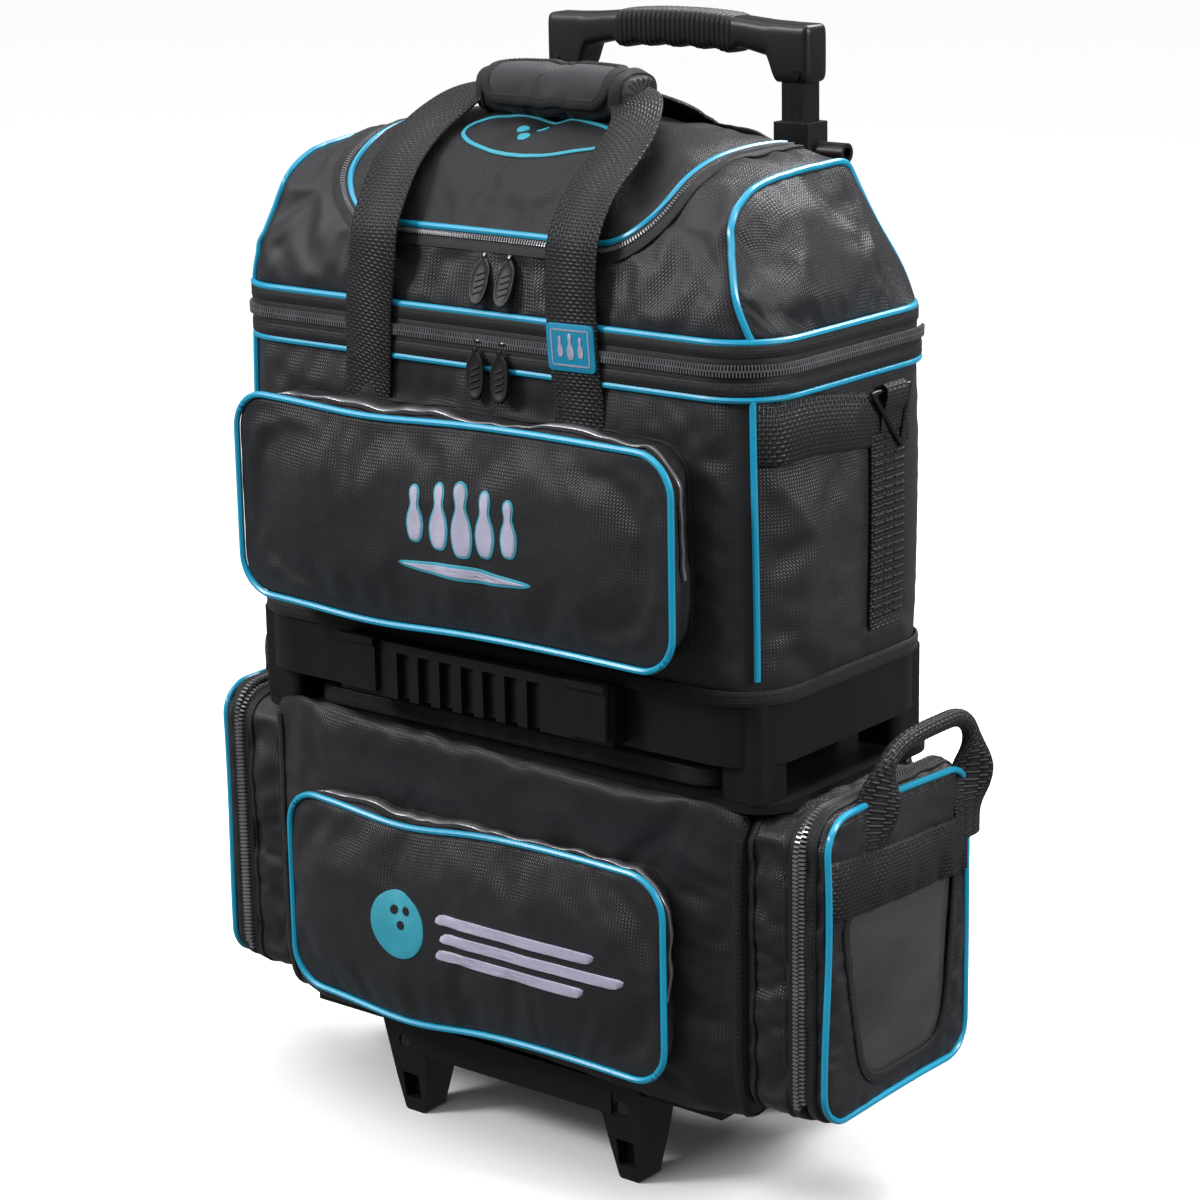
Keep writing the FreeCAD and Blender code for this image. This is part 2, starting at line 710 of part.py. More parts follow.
def ring(word, side):
    """Triangular wire ring: three straight runs joined at ball corners."""
    place = f"{side} * (tote_half + 7)"
    corners = [Vector(0, 2, 0), Vector(0, 48, 0), Vector(0, 38, -42)]
    pieces = []
    for index, corner in enumerate(corners):
        run = corners[(index + 1) % 3] - corner
        start = (place, str(corner.y), f"ring_height + ({corner.z})")
        pieces.append(rod(f"ring_run_{index}_{word}", start, str(run.Length), "ring_wire", tuple(run)))
        pieces.append(ball(f"ring_corner_{index}_{word}", start, "ring_wire"))
    node(joined("ring_" + word, pieces), "ring_" + word)


def strap_roots():
    """Sewn lower ends of the carry straps, front and rear."""
    front = [("tote_front - 0.3", "588"), ("tote_front - 0.3", "614"), ("tote_front - 7", "641"),
             ("tote_front - 7", "650"), ("tote_front - 9.5", "650"), ("tote_front - 9.5", "640.5"),
             ("tote_front - 2.8", "613.5"), ("tote_front - 2.8", "588")]
    node(pair("front_strap_roots", front, "front_strap_x", "webbing_width"), "front_strap_roots")
    rear = [("tote_rear + 0.3", "540"), ("tote_rear + 0.3", "633.4"), ("tote_rear + 2.8", "633.4"),
            ("tote_rear + 2.8", "540")]
    node(pair("back_strap_roots", rear, "back_strap_x", "webbing_width - 2"), "back_strap_roots")


def front_handle():
    """Front pair of straps, which carry the padded wrap above the dome."""
    leg = [("tote_front - 7.5", "651.5"), ("tote_front - 7.5", "711"), ("-111", "743"), ("-36", "803.5"),
           ("-36", "807"), ("-39", "807"), ("-113", "745"), ("tote_front - 10", "712"),
           ("tote_front - 10", "651.5")]
    legs = []
    for word, side in SIDES:
        across = span(side, "front_strap_x - webbing_width / 2", "front_strap_x + webbing_width / 2")
        legs.append(slab("front_leg_" + word, leg, across[0], across[1]))
    reach = "front_strap_x + webbing_width / 2"
    bar = block("front_bar", (f"-({reach})", reach), ("-39", "-9"), ("804", "807"))
    node(joined("front_straps", legs + [bar]), "front_straps")

    body = new_body("wrap_block")
    pad(body, outline(body, "YZ_Plane", rectangle("-48", "2", "787", "826"), "-69"), "138")
    rounded(body, "14", along((1, 0, 0)))
    slot = block("wrap_slot", ("-80", "80"), ("-39.4", "-8.6"), ("803.6", "807.4"))
    node(removed("handle_wrap", body, [slot]), "handle_wrap")


def back_handle():
    """Rear straps, which lie on the lid's back and on the top flap."""
    middle = [("tote_rear + 0.4", "636"), ("tote_rear + 0.4", "lid_band_high + 0.3"),
              ("shoulder_rear + 0.7", "shoulder_high + 0.3"), ("36", "773.5"), ("38", "777"),
              ("shoulder_rear + 3.4", "shoulder_high + 1.6"), ("tote_rear + 3", "lid_band_high + 1"),
              ("tote_rear + 3", "636")]
    node(pair("back_strap_middle", middle, "back_strap_x", "webbing_width - 2"), "back_strap_middle")
    top = [("25", "dome_high + 1.3"), ("flap_hinge_y - 0.3", "dome_high + 1.3"),
           ("flap_hinge_y - 0.3", "781"), ("14", "792.5"), ("8", "792.5"), ("8", "789"), ("12.5", "789"), ("25", "779.5")]
    legs = []
    for word, side in SIDES:
        across = span(side, "back_strap_x - 21", "back_strap_x + 21")
        legs.append(slab("back_leg_" + word, top, across[0], across[1]))
    bar = block("back_bar", ("-92", "92"), ("4.5", "12"), ("789", "792.5"))
    node(joined("back_strap_top", legs + [bar]), "back_strap_top")


def lid_loft(name, inset, low):
    """Solid of the lid's domed shape, moved in by an inset."""
    levels = (("tote_half", "tote_front", "tote_rear", "lid_band_high"),
              ("shoulder_half", "shoulder_front", "shoulder_rear", f"shoulder_high - ({inset})"),
              ("dome_half", "dome_front", "dome_rear", f"dome_high - ({inset})"))
    body = new_body(name)
    band = outline(body, "XY_Plane", rectangle(f"({inset}) - tote_half", f"tote_half - ({inset})",
                                               f"tote_front + ({inset})", f"tote_rear - ({inset})"), low)
    pad(body, band, f"lid_band_high - ({low})")
    sections = []
    for half, front, rear, height in levels:
        corners = rectangle(f"({inset}) - {half}", f"{half} - ({inset})", f"{front} + ({inset})",
                            f"{rear} - ({inset})")
        sections.append(outline(body, "XY_Plane", corners, height))
    loft(body, "AdditiveLoft", sections)
    return body


def lid():
    """Domed lid of the tote with a U-shaped flap in its front and top."""
    outside = lid_loft("lid_outside", "0", "zip_height + gap")
    plan = new_body("lid_plan")
    pad(plan, tote_outline(plan, "0", "zip_height"), "200")
    rounded(plan, "corner_radius", along((0, 0, 1)))
    inner_plan = new_body("lid_inner_plan")
    pad(inner_plan, tote_outline(inner_plan, "fabric", "zip_height - 10"), "210")
    rounded(inner_plan, "corner_radius - fabric", along((0, 0, 1)))
    inside = lid_loft("lid_inside", "fabric", "zip_height - 5")
    whole = shared("lid_whole", outside, plan)
    cavity = shared("lid_cavity", inside, inner_plan)
    shell = removed("lid_skin", whole, [cavity])
    mouth = block("flap_mouth", ("-flap_half - gap", "flap_half + gap"), ("-200", "flap_hinge_y + gap"),
                  ("flap_low", "900"))
    cover = block("flap_cover", ("-flap_half", "flap_half"), ("-200", "flap_hinge_y"),
                  ("flap_low + gap", "900"))
    node(removed("lid_shell", shell, [mouth]), "lid_shell")
    node(shared("top_flap", shell, cover), "top_flap")


def sliders():
    """Zip sliders on the main zip and on the flap zip, each with a hanging oval pull."""
    places = (("main", "tote_front - 7.4", "629", "0"), ("flap", "-119.2", "694", "-20.6"))
    spots = (("left", "4"), ("right", "27"))
    for zip_name, front, low, tilt in places:
        for word, across in spots:
            body = new_body(f"{zip_name}_slider_{word}_shape")
            ring_of = rectangle(f"{across} - 5.5", f"{across} + 5.5", f"{front}", f"{front} + 7")
            pad(body, outline(body, "XY_Plane", ring_of, low), "9")
            rounded(body, "2", along((0, 0, 1)))
            node(body, f"{zip_name}_slider_{word}")

            body = new_body(f"{zip_name}_pull_{word}_shape")
            shape = [("-4", "0"), ("4", "0"), ("7.5", "-10"), ("8", "-20"), ("6.5", "-31"), ("3", "-37"),
                     ("-3", "-37"), ("-6.5", "-31"), ("-8", "-20"), ("-7.5", "-10")]
            pad(body, outline(body, "XZ_Plane", shape), "3")
            rounded(body, "1", lambda edge: along((0, 1, 0))(edge))
            body.Placement.Rotation = Rotation(Vector(1, 0, 0), float(tilt))
            bind(body, Placement__Base__x=across, Placement__Base__y=f"{front} - 0.6",
                 Placement__Base__z=f"{low} - 1")
            node(body, f"{zip_name}_pull_{word}")


# ---------------------------------------------------------------- build and write


def build():
    base_frame()
    leg_screws()
    wheel_housing()
    axle()
    wheels()
    lower_shell()
    foam_cup("lower_foam", "lower_bottom + fabric + 0.3", "118", "200", "-116", "40", "112",
             "ball_radius + 2", "208")
    lower_pocket()
    end_pockets()
    lower_deck()
    back = block("back_board", ("-150", "150"), ("lower_rear + 0.3", "lower_rear + 3.7"), ("140", "312"))
    node(back, "back_board")
    handle_tubes()
    pull_grip()
    release_pin()
    tray()
    latches()
    tote_shell()
    foam_cup("tote_foam", "tray_high + fabric + 0.3", "434", "tote_half - fabric - 0.5",
             "tote_front + fabric + 0.5", "tote_rear - fabric - 0.5", "118", "ball_radius + 2", "518")
    upper_pocket()
    side_webbing()
    for word, side in SIDES:
        ring(word, side)
    strap_roots()
    front_handle()
    back_handle()
    lid()
    sliders()


def check():
    document.recompute()
    for item in document.Objects:
        if "Invalid" in item.State or "Error" in item.State:
            raise RuntimeError(f"{item.Name}: {item.State}")
    for item in nodes:
        if item.Shape.isNull() or not item.Shape.isValid():
            raise RuntimeError(f"{item.Label} has no valid shape")


def write():
    os.makedirs("parts", exist_ok=True)
    for item in nodes:
        item.Shape.exportStep(f"parts/{item.Label}.step")
        print(f"{item.Label}: {len(item.Shape.Solids)} solids, {item.Shape.Volume / 1000:.1f} cm3")
    print(len(nodes), "nodes")


build()
check()
write()
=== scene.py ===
"""Looks of a rolling bowling bag: soft shells, piping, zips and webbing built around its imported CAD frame."""

import math

import bmesh
import bpy
import numpy as np
from mathutils import Matrix, Vector, noise
from mathutils.bvhtree import BVHTree


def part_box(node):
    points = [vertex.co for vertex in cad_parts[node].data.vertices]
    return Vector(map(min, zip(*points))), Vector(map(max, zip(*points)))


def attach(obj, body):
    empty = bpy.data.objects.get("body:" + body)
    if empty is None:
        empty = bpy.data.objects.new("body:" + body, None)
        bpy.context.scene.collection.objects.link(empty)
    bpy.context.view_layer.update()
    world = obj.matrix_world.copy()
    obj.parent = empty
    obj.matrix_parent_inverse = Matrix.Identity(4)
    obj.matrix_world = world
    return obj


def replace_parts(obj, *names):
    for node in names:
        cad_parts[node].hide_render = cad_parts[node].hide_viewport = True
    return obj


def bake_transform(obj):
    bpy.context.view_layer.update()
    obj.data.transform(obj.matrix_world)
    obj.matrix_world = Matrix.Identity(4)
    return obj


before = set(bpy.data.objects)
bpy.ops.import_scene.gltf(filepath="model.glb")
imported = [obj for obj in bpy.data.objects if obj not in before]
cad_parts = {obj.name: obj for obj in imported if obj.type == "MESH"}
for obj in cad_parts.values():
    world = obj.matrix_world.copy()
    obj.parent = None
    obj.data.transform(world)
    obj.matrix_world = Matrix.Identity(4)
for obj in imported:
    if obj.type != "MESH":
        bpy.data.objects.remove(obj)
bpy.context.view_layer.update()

MM = 0.001
SIDES = (("left", -1), ("right", 1))


def box(node):
    """Lowest and highest corner of a CAD node, as arrays in metres."""
    low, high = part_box(node)
    return np.array(low), np.array(high)


# ---------------------------------------------------------------- lines


def unit(vectors):
    return vectors / np.maximum(np.linalg.norm(vectors, axis=-1, keepdims=True), 1e-9)


def arc(points):
    """Length along a line of points, from its first one."""
    steps = np.linalg.norm(np.diff(points, axis=0), axis=1)
    return np.concatenate([[0.0], np.cumsum(steps)])


def spaced(points, count, closed=False):
    """The same line with its points evenly spaced."""
    points = np.asarray(points, float)
    if closed:
        points = np.vstack([points, points[:1]])
    length = arc(points)
    at = np.linspace(0, length[-1], count + 1)[:-1] if closed else np.linspace(0, length[-1], count)
    return np.stack([np.interp(at, length, column) for column in points.T], axis=1)


def curve(points, count, closed=False):
    """Evenly spaced points on a smooth line through the given ones."""
    given = np.asarray(points, float)
    if closed:
        given = np.vstack([given[-1:], given, given[:2]])
    else:
        given = np.vstack([2 * given[0] - given[1], given, 2 * given[-1] - given[-2]])
    share = np.linspace(0, 1, 16, endpoint=False)[:, None]
    parts = []
    for a, b, c, d in zip(given, given[1:], given[2:], given[3:]):
        bend = (2 * a - 5 * b + 4 * c - d) * share**2 + (3 * b - 3 * c + d - a) * share**3
        parts.append(0.5 * (2 * b + (c - a) * share + bend))
    if not closed:
        parts.append(given[-2:-1])
    return spaced(np.vstack(parts), count, closed)


def rounded_loop(low, high, radius, count):
    """A closed rounded rectangle, anticlockwise from the middle of its low side."""
    radius = max(radius, 0.2 * MM)
    line = [((low[0] + high[0]) / 2, low[1])]
    for right, top, turn in ((1, 0, -90), (1, 1, 0), (0, 1, 90), (0, 0, 180)):
        centre_x = high[0] - radius if right else low[0] + radius
        centre_y = high[1] - radius if top else low[1] + radius
        for step in range(9):
            angle = math.radians(turn + 90 * step / 8)
            line.append((centre_x + radius * math.cos(angle), centre_y + radius * math.sin(angle)))
    return spaced(line, count, closed=True)


def at_level(loop, height):
    """A plan loop lifted to a height."""
    return np.column_stack([loop, np.full(len(loop), height)])


def at_side(place, outline):
    """An upright outline in (y, z), set up at one x."""
    return np.column_stack([np.full(len(outline), place), outline])


def smoothed(values, rounds=2, closed=False):
    """Values evened out with their neighbours; the ends of an open line stay."""
    for _ in range(rounds):
        before, after = np.roll(values, 1, axis=0), np.roll(values, -1, axis=0)
        if not closed:
            before[0], after[-1] = values[0], values[-1]
        values = (before + 2 * values + after) / 4
    return values


def ease(low, high, values):
    """0 below low, 1 above high, and smooth in between."""
    share = np.clip((np.asarray(values, float) - low) / (high - low), 0, 1)
    return share * share * (3 - 2 * share)


def tangents(path, closed=False):
    """Direction of a line at each of its points."""
    if closed:
        return unit(np.roll(path, -1, axis=0) - np.roll(path, 1, axis=0))
    return unit(np.gradient(path, axis=0))


# ---------------------------------------------------------------- pieces


class Piece:
    """The mesh of one piece while it is put together. Its weave map is in metres of cloth."""

    def __init__(self):
        self.points, self.faces, self.weave, self.finish = [], [], [], []

    def add(self, points, faces, weave=None, finish=0):
        base = len(self.points)
        self.points.extend(np.asarray(points, float).tolist())
        for index, face in enumerate(faces):
            self.faces.append([base + corner for corner in face])
            self.weave.extend(weave[index] if weave is not None else [(0.0, 0.0)] * len(face))
            self.finish.append(finish)

    def grid(self, points, wrap_a=False, wrap_b=False, along=None, around=None, finish=0):
        """A sheet of quads through an array of points, which can close on itself either way."""
        count_a, count_b = points.shape[:2]
        if along is None:
            line = points[:, count_b // 2]
            along = arc(np.vstack([line, line[:1]]) if wrap_a else line)
        if around is None:
            line = points[count_a // 2]
            around = arc(np.vstack([line, line[:1]]) if wrap_b else line)
        faces, weave = [], []
        for a in range(count_a if wrap_a else count_a - 1):
            for b in range(count_b if wrap_b else count_b - 1):
                next_a, next_b = (a + 1) % count_a, (b + 1) % count_b
                faces.append((a * count_b + b, next_a * count_b + b,
                              next_a * count_b + next_b, a * count_b + next_b))
                weave.append([(along[a], around[b]), (along[a + 1], around[b]),
                              (along[a + 1], around[b + 1]), (along[a], around[b + 1])])
        self.add(points.reshape(-1, 3), faces, weave, finish)

    def sweep(self, path, normals, section, closed=False, finish=0):
        """Run a closed section (across, out) along a path. Its ends are closed by fans."""
        path, normals = np.asarray(path, float), np.broadcast_to(np.asarray(normals, float), np.shape(path))
        section = np.asarray(section, float)
        if section.ndim == 2:
            section = np.broadcast_to(section, (len(path),) + section.shape)
        across = unit(np.cross(normals, tangents(path, closed)))
        out = unit(np.cross(tangents(path, closed), across))
        rings = path[:, None] + across[:, None] * section[..., :1] + out[:, None] * section[..., 1:]
        self.grid(rings, wrap_a=closed, wrap_b=True, finish=finish)
        if not closed:
            size = section.shape[1]
            for ring in (rings[0], rings[-1]):
                fan = [(size, corner, (corner + 1) % size) for corner in range(size)]
                self.add(np.vstack([ring, ring.mean(axis=0)]), fan, None, finish)

    def tube(self, path, radius, closed=False, sides=8, finish=0):
        """A round cord along a path."""
        path = np.asarray(path, float)
        rough = np.tile((0.31, 0.17, 0.93), (len(path), 1))
        run = tangents(path, closed)
        rough = np.where(np.abs((run * rough).sum(1))[:, None] > 0.9, (0.93, 0.31, 0.1), rough)
        side = np.cross(rough, run)
        out = unit(smoothed(unit(np.cross(run, side)), 3, closed))
        self.sweep(path, out, circle(sides) * radius, closed, finish)

    def done(self, name, materials, body, slot, levels=0, sharp=40, thick=0.0, merge=1e-5):
        """Make the object, with its normals outward, and let it ride on its body."""
        mesh = bpy.data.meshes.new(name)
        mesh.from_pydata(self.points, [], self.faces)
        layer = mesh.uv_layers.new(name="weave")
        layer.data.foreach_set("uv", np.asarray(self.weave, float).ravel())
        mesh.polygons.foreach_set("material_index", self.finish)
        work = bmesh.new()
        work.from_mesh(mesh)
        bmesh.ops.remove_doubles(work, verts=work.verts, dist=merge)
        bmesh.ops.recalc_face_normals(work, faces=work.faces)
        work.to_mesh(mesh)
        work.free()
        mesh.polygons.foreach_set("use_smooth", [True] * len(mesh.polygons))
        mesh.set_sharp_from_angle(angle=math.radians(sharp))
        for material in materials if isinstance(materials, (list, tuple)) else [materials]:
            mesh.materials.append(material)
        made = bpy.data.objects.new(name, mesh)
        bpy.context.scene.collection.objects.link(made)
        lined(made, thick, levels)
        if body:
            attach(made, body)
        return made


def lined(item, thick, levels=1):
    """Give a sheet of cloth its thickness, with its second material inside, and smooth it."""
    if thick:
        wall = item.modifiers.new("wall", "SOLIDIFY")
        wall.thickness, wall.offset, wall.material_offset = thick, -1, 1
    if levels:
        smooth = item.modifiers.new("smooth", "SUBSURF")
        smooth.levels = smooth.render_levels = levels


def capped(rows):
    """A piece from a row of rings, closed at both ends."""
    piece = Piece()
    piece.grid(rows, wrap_b=True)
    for row in (rows[0], rows[-1]):
        piece.grid(np.array([row, row * 0 + row.mean(axis=0)]), wrap_b=True)
    return piece


# ---------------------------------------------------------------- sections and outlines


def circle(count):
    """Points of a unit circle."""
    turn = np.arange(count) * 2 * math.pi / count
    return np.column_stack([np.cos(turn), np.sin(turn)])


def strip(width, thick, centre=0.0, lift=0.0):
    """Section of a flat band with eased edges, lying on the surface."""
    half, ease_in = width / 2, min(0.35 * thick, width / 4)
    shape = [(-half, 0), (-half, thick - ease_in), (ease_in - half, thick), (0, thick * 1.03),
             (half - ease_in, thick), (half, thick - ease_in), (half, 0)]
    return np.array(shape) + (centre, lift)


def oval(half_width, half_height, sides=16, power=2.0):
    """Section of a bar: an ellipse for power 2, and squarer for more."""
    ring = circle(sides)
    return np.sign(ring) * np.abs(ring) ** (2 / power) * (half_width, half_height)


def inside_outline(point, outline):
    """Whether a flat point lies within a closed outline."""
    hits = 0
    for (x1, y1), (x2, y2) in zip(outline, np.roll(outline, -1, axis=0)):
        if (y1 > point[1]) != (y2 > point[1]) and point[0] < (x2 - x1) * (point[1] - y1) / (y2 - y1) + x1:
            hits += 1
    return hits % 2 == 1


# ---------------------------------------------------------------- cloth and trim


def coords(mesh):
    """A mesh's vertices as an array."""
    flat = np.zeros(len(mesh.vertices) * 3)
    mesh.vertices.foreach_get("co", flat)
    return flat.reshape(-1, 3)


def set_coords(mesh, points):
    mesh.vertices.foreach_set("co", np.asarray(points, float).ravel())
    mesh.update()


class Skin:
    """The finished outside of a piece, on which seams and trim are laid."""

    OUTSIDE, REACH = 80 * MM, 300 * MM      # where a ray starts, and how far it goes

    def __init__(self, item):
        item = item.evaluated_get(bpy.context.evaluated_depsgraph_get())
        mesh = item.to_mesh()
        points = [(item.matrix_world @ vertex.co)[:] for vertex in mesh.vertices]
        self.tree = BVHTree.FromPolygons(points, [face.vertices[:] for face in mesh.polygons])
        item.to_mesh_clear()

    def lay(self, points, outward, lift=0.0, rounds=2, closed=False):
        """Nearest places on the skin, lifted off it, and the smooth outward normals there."""
        hits = [self.tree.find_nearest(Vector(point)) for point in points]
        return self.settled(hits, outward, lift, rounds, closed)

    def cast(self, points, inward, lift=0.0, rounds=2, closed=False):
        """Where rays that start well outside the points meet the skin."""
        hits = []
        for point in points:
            hit = self.tree.ray_cast(Vector(point - inward * self.OUTSIDE), Vector(inward), self.REACH)
            hits.append(self.tree.find_nearest(Vector(point)) if hit[0] is None else hit)
        return self.settled(hits, -inward, lift, rounds, closed)

    @staticmethod
    def settled(hits, outward, lift, rounds, closed):
        places = np.array([hit[0][:] for hit in hits])
        normals = np.array([hit[1][:] for hit in hits])
        normals *= np.where((normals * outward).sum(axis=1, keepdims=True) > 0, 1, -1)
        normals = unit(smoothed(normals, rounds, closed))
        return smoothed(places, 1, closed) + normals * lift, normals


HAIR = 0.1 * MM


def line_tree(line, beside):
    """Search tree for the nearest place on a line, which is given a hair's width to one side."""
    count = len(line)
    points = [Vector(point) for point in np.vstack([line, line + beside])]
    return BVHTree.FromPolygons(points, [(i, i + 1, i + count + 1, i + count) for i in range(count - 1)])


def cut_hole(item, doomed, near_edge, snapped):
    """Take away the faces whose middle is doomed, and move the new edge's vertices to where it should run."""
    work = bmesh.new()
    work.from_mesh(item.data)
    gone = [face for face in work.faces if doomed(face.calc_center_median())]
    bmesh.ops.delete(work, geom=gone, context="FACES")
    for vertex in work.verts:
        if vertex.is_boundary and near_edge(vertex.co):
            vertex.co = snapped(vertex.co)
    work.to_mesh(item.data)
    work.free()


def crease(item, held, depth, size=42 * MM):
    """Slack cloth: shallow folds with sharp ridges, which die out at the seams that are held."""
    mesh = item.data
    places = coords(mesh)
    for vertex, place, fixed in zip(mesh.vertices, places.copy(), held):
        if fixed:
            continue
        spot = Vector(place) / size
        bent = spot + 0.6 * noise.noise_vector(spot * 0.7)
        ridge = (1 - min(1, 2.2 * abs(noise.noise(bent)))) ** 2
        swell = noise.noise(spot * 0.45 + Vector((7, 3, 1)))
        places[vertex.index] += np.array(vertex.normal) * depth * (0.9 * ridge + 0.9 * swell - 0.25)
    set_coords(mesh, places)


def puff(item, pinned, grow=0.02, pressure=2.0, cap=8 * MM, bend=0.6, steps=16, folds=2.2 * MM):
    """Cloth simulation: the cloth is a little too large for its seams, so it fills out between them.
    cap is the farthest that any of it moves, and folds is the depth of the creases added at the end."""
    rest = coords(item.data)
    held = pinned(rest)
    seams = item.vertex_groups.new(name="seams")
    seams.add(np.flatnonzero(held).tolist(), 1.0, "REPLACE")
    shown = [(modifier, modifier.show_viewport) for modifier in item.modifiers]
    for modifier, _ in shown:
        modifier.show_viewport = False
    cloth = item.modifiers.new("cloth", "CLOTH")
    rules = cloth.settings
    rules.quality = 6
    rules.mass = 0.12
    rules.air_damping = 4
    rules.tension_stiffness = rules.compression_stiffness = 18
    rules.shear_stiffness = 8
    rules.bending_stiffness = bend
    rules.vertex_group_mass = "seams"
    rules.shrink_min = -grow
    rules.use_pressure = True
    rules.uniform_pressure_force = pressure
    rules.effector_weights.gravity = 0
    cloth.point_cache.frame_start, cloth.point_cache.frame_end = 1, steps
    for step in range(1, steps + 1):
        bpy.context.scene.frame_set(step)
    settled = coords(item.evaluated_get(bpy.context.evaluated_depsgraph_get()).data)
    item.modifiers.remove(cloth)
    bpy.context.scene.frame_set(1)
    move = settled - rest
    far = np.linalg.norm(move, axis=1, keepdims=True)
    move *= np.minimum(1, cap / np.maximum(far, 1e-9))
    set_coords(item.data, rest + np.nan_to_num(move))
    crease(item, held, folds)
    for modifier, visible in shown:
        modifier.show_viewport = visible


def teeth(piece, path, normals, across, pitch, size, shift=0.0, finish=0):
    """A row of small moulded zip teeth beside the middle of a path. size is (along, across, out)."""
    path = np.asarray(path, float)
    length = arc(path)
    spots = np.arange(pitch / 2 + shift * pitch, length[-1], pitch)
    run, out = tangents(path), np.asarray(normals, float)
    side = unit(np.cross(out, run))
    corners = np.array([(a, b, c) for a in (-1, 1) for b in (-1, 1) for c in (0, 1)], float)
    faces = [(0, 1, 3, 2), (4, 6, 7, 5), (0, 4, 5, 1), (2, 3, 7, 6), (1, 5, 7, 3), (0, 2, 6, 4)]
    for spot in spots:
        place, along, beside, up = (np.array([np.interp(spot, length, column) for column in lines.T])
                                    for lines in (path, run, side, out))
        shape = corners * (size[0] / 2, size[1] / 2, size[2])
        shape[:, 0] *= np.where(corners[:, 2] > 0, 0.62, 1)
        shape[:, 1] *= np.where(corners[:, 2] > 0, 0.8, 1)
        points = place + shape[:, :1] * along + (shape[:, 1:2] + across) * beside + shape[:, 2:] * up
        piece.add(points, faces, None, finish)


def stitches(piece, path, normals, closed=False, pitch=3.6 * MM, long=2.5 * MM, wide=0.55 * MM, finish=0):
    """A sewn line: one small raised thread after another."""
    path = np.asarray(path, float)
    if closed:
        path, normals = np.vstack([path, path[:1]]), np.vstack([normals, normals[:1]])
    teeth(piece, path, normals, 0.0, pitch, (long, wide, 0.45 * MM), 0.0, finish)


# ---------------------------------------------------------------- materials


class Graph:
    """A material's nodes, wired by short calls."""

    def __init__(self, name, colour, roughness, **settings):
        self.material = bpy.data.materials.new(name)
        self.material.use_nodes = True
        self.tree = self.material.node_tree
        self.shader = self.tree.nodes["Principled BSDF"]
        self.shader.inputs["Base Color"].default_value = (*colour, 1)
        self.shader.inputs["Roughness"].default_value = roughness
        for socket, value in settings.items():
            self.shader.inputs[socket.replace("_", " ")].default_value = value

    def node(self, kind, **values):
        made = self.tree.nodes.new("ShaderNode" + kind)
        for name, value in values.items():
            setattr(made, name, value)
        return made

    def link(self, source, target):
        if isinstance(source, (int, float)):
            target.default_value = source
        else:
            self.tree.links.new(source, target)

    def math(self, operation, first, second=0.0, third=0.0):
        made = self.node("Math", operation=operation)
        for value, socket in zip((first, second, third), made.inputs):
            self.link(value, socket)
        return made.outputs[0]

    def weave_map(self):
        """Across and along the cloth, in metres."""
        split = self.node("SeparateXYZ")
        self.link(self.node("UVMap", uv_map="weave").outputs["UV"], split.inputs[0])
        return split.outputs[0], split.outputs[1]

    def noise(self, scale, detail=3.0, roughness=0.55, stretch=(1, 1, 1)):
        """Soft noise in the object's own space, in cells of 1 / scale metres."""
        place = self.node("Mapping")
        place.inputs["Scale"].default_value = stretch
        self.link(self.node("TexCoord").outputs["Object"], place.inputs["Vector"])
        made = self.node("TexNoise")
        made.inputs["Scale"].default_value = scale
        made.inputs["Detail"].default_value = detail
        made.inputs["Roughness"].default_value = roughness
        self.link(place.outputs[0], made.inputs["Vector"])
        return made.outputs[0]

    def spread(self, value, low, high):
        """Rescale 0 to 1 into low to high."""
        made = self.node("MapRange")
        made.inputs["To Min"].default_value = low
        made.inputs["To Max"].default_value = high
        self.link(value, made.inputs["Value"])
        return made.outputs[0]

    def blend(self, share, first, second):
        """Colour between two colours or sockets."""
        made = self.node("Mix", data_type="RGBA")
        self.link(share, made.inputs["Factor"])
        for value, socket in ((first, made.inputs["A"]), (second, made.inputs["B"])):
            sockets = [item for item in made.inputs if item.name == socket.name and item.type == "RGBA"]
            if isinstance(value, tuple):
                sockets[0].default_value = (*value, 1)
            else:
                self.link(value, sockets[0])
        return next(item for item in made.outputs if item.type == "RGBA")

    def finish(self, colour=None, roughness=None, height=None, depth=0.3 * MM, strength=0.6, rumple=0.0):
        if colour is not None:
            self.link(colour, self.shader.inputs["Base Color"])
        if roughness is not None:
            self.link(roughness, self.shader.inputs["Roughness"])
        if height is not None:
            bump = self.node("Bump")
            bump.inputs["Strength"].default_value = strength
            bump.inputs["Distance"].default_value = depth
            self.link(height, bump.inputs["Height"])
            if rumple:
                slow = self.node("Bump")
                slow.inputs["Strength"].default_value = 0.7
                slow.inputs["Distance"].default_value = rumple
                self.link(self.noise(17, 3, 0.45), slow.inputs["Height"])
                self.link(slow.outputs[0], bump.inputs["Normal"])
            self.link(bump.outputs[0], self.shader.inputs["Normal"])
        return self.material


def yarns(graph, pitch, diagonal=False, aspect=1.0):
    """Height of a plain weave: warp and weft yarns that pass over each other in turn, 0 to 1."""
    across, along = graph.weave_map()
    if diagonal:
        across, along = graph.math("ADD", across, along), graph.math("SUBTRACT", across, along)
    across = graph.math("MULTIPLY", across, 1 / pitch)
    along = graph.math("MULTIPLY", along, 1 / (pitch * aspect))
    parity = graph.math("ADD", graph.math("FLOOR", across), graph.math("FLOOR", along))
    over = graph.math("PINGPONG", parity, 1.0)
    warp = graph.math("ABSOLUTE", graph.math("SINE", graph.math("MULTIPLY", across, math.pi)))
    weft = graph.math("ABSOLUTE", graph.math("SINE", graph.math("MULTIPLY", along, math.pi)))
    warp = graph.math("MULTIPLY", warp, graph.math("MULTIPLY_ADD", over, 0.6, 0.4))
    weft = graph.math("MULTIPLY", weft, graph.math("MULTIPLY_ADD", over, -0.6, 1.0))
    return graph.math("MAXIMUM", warp, weft)


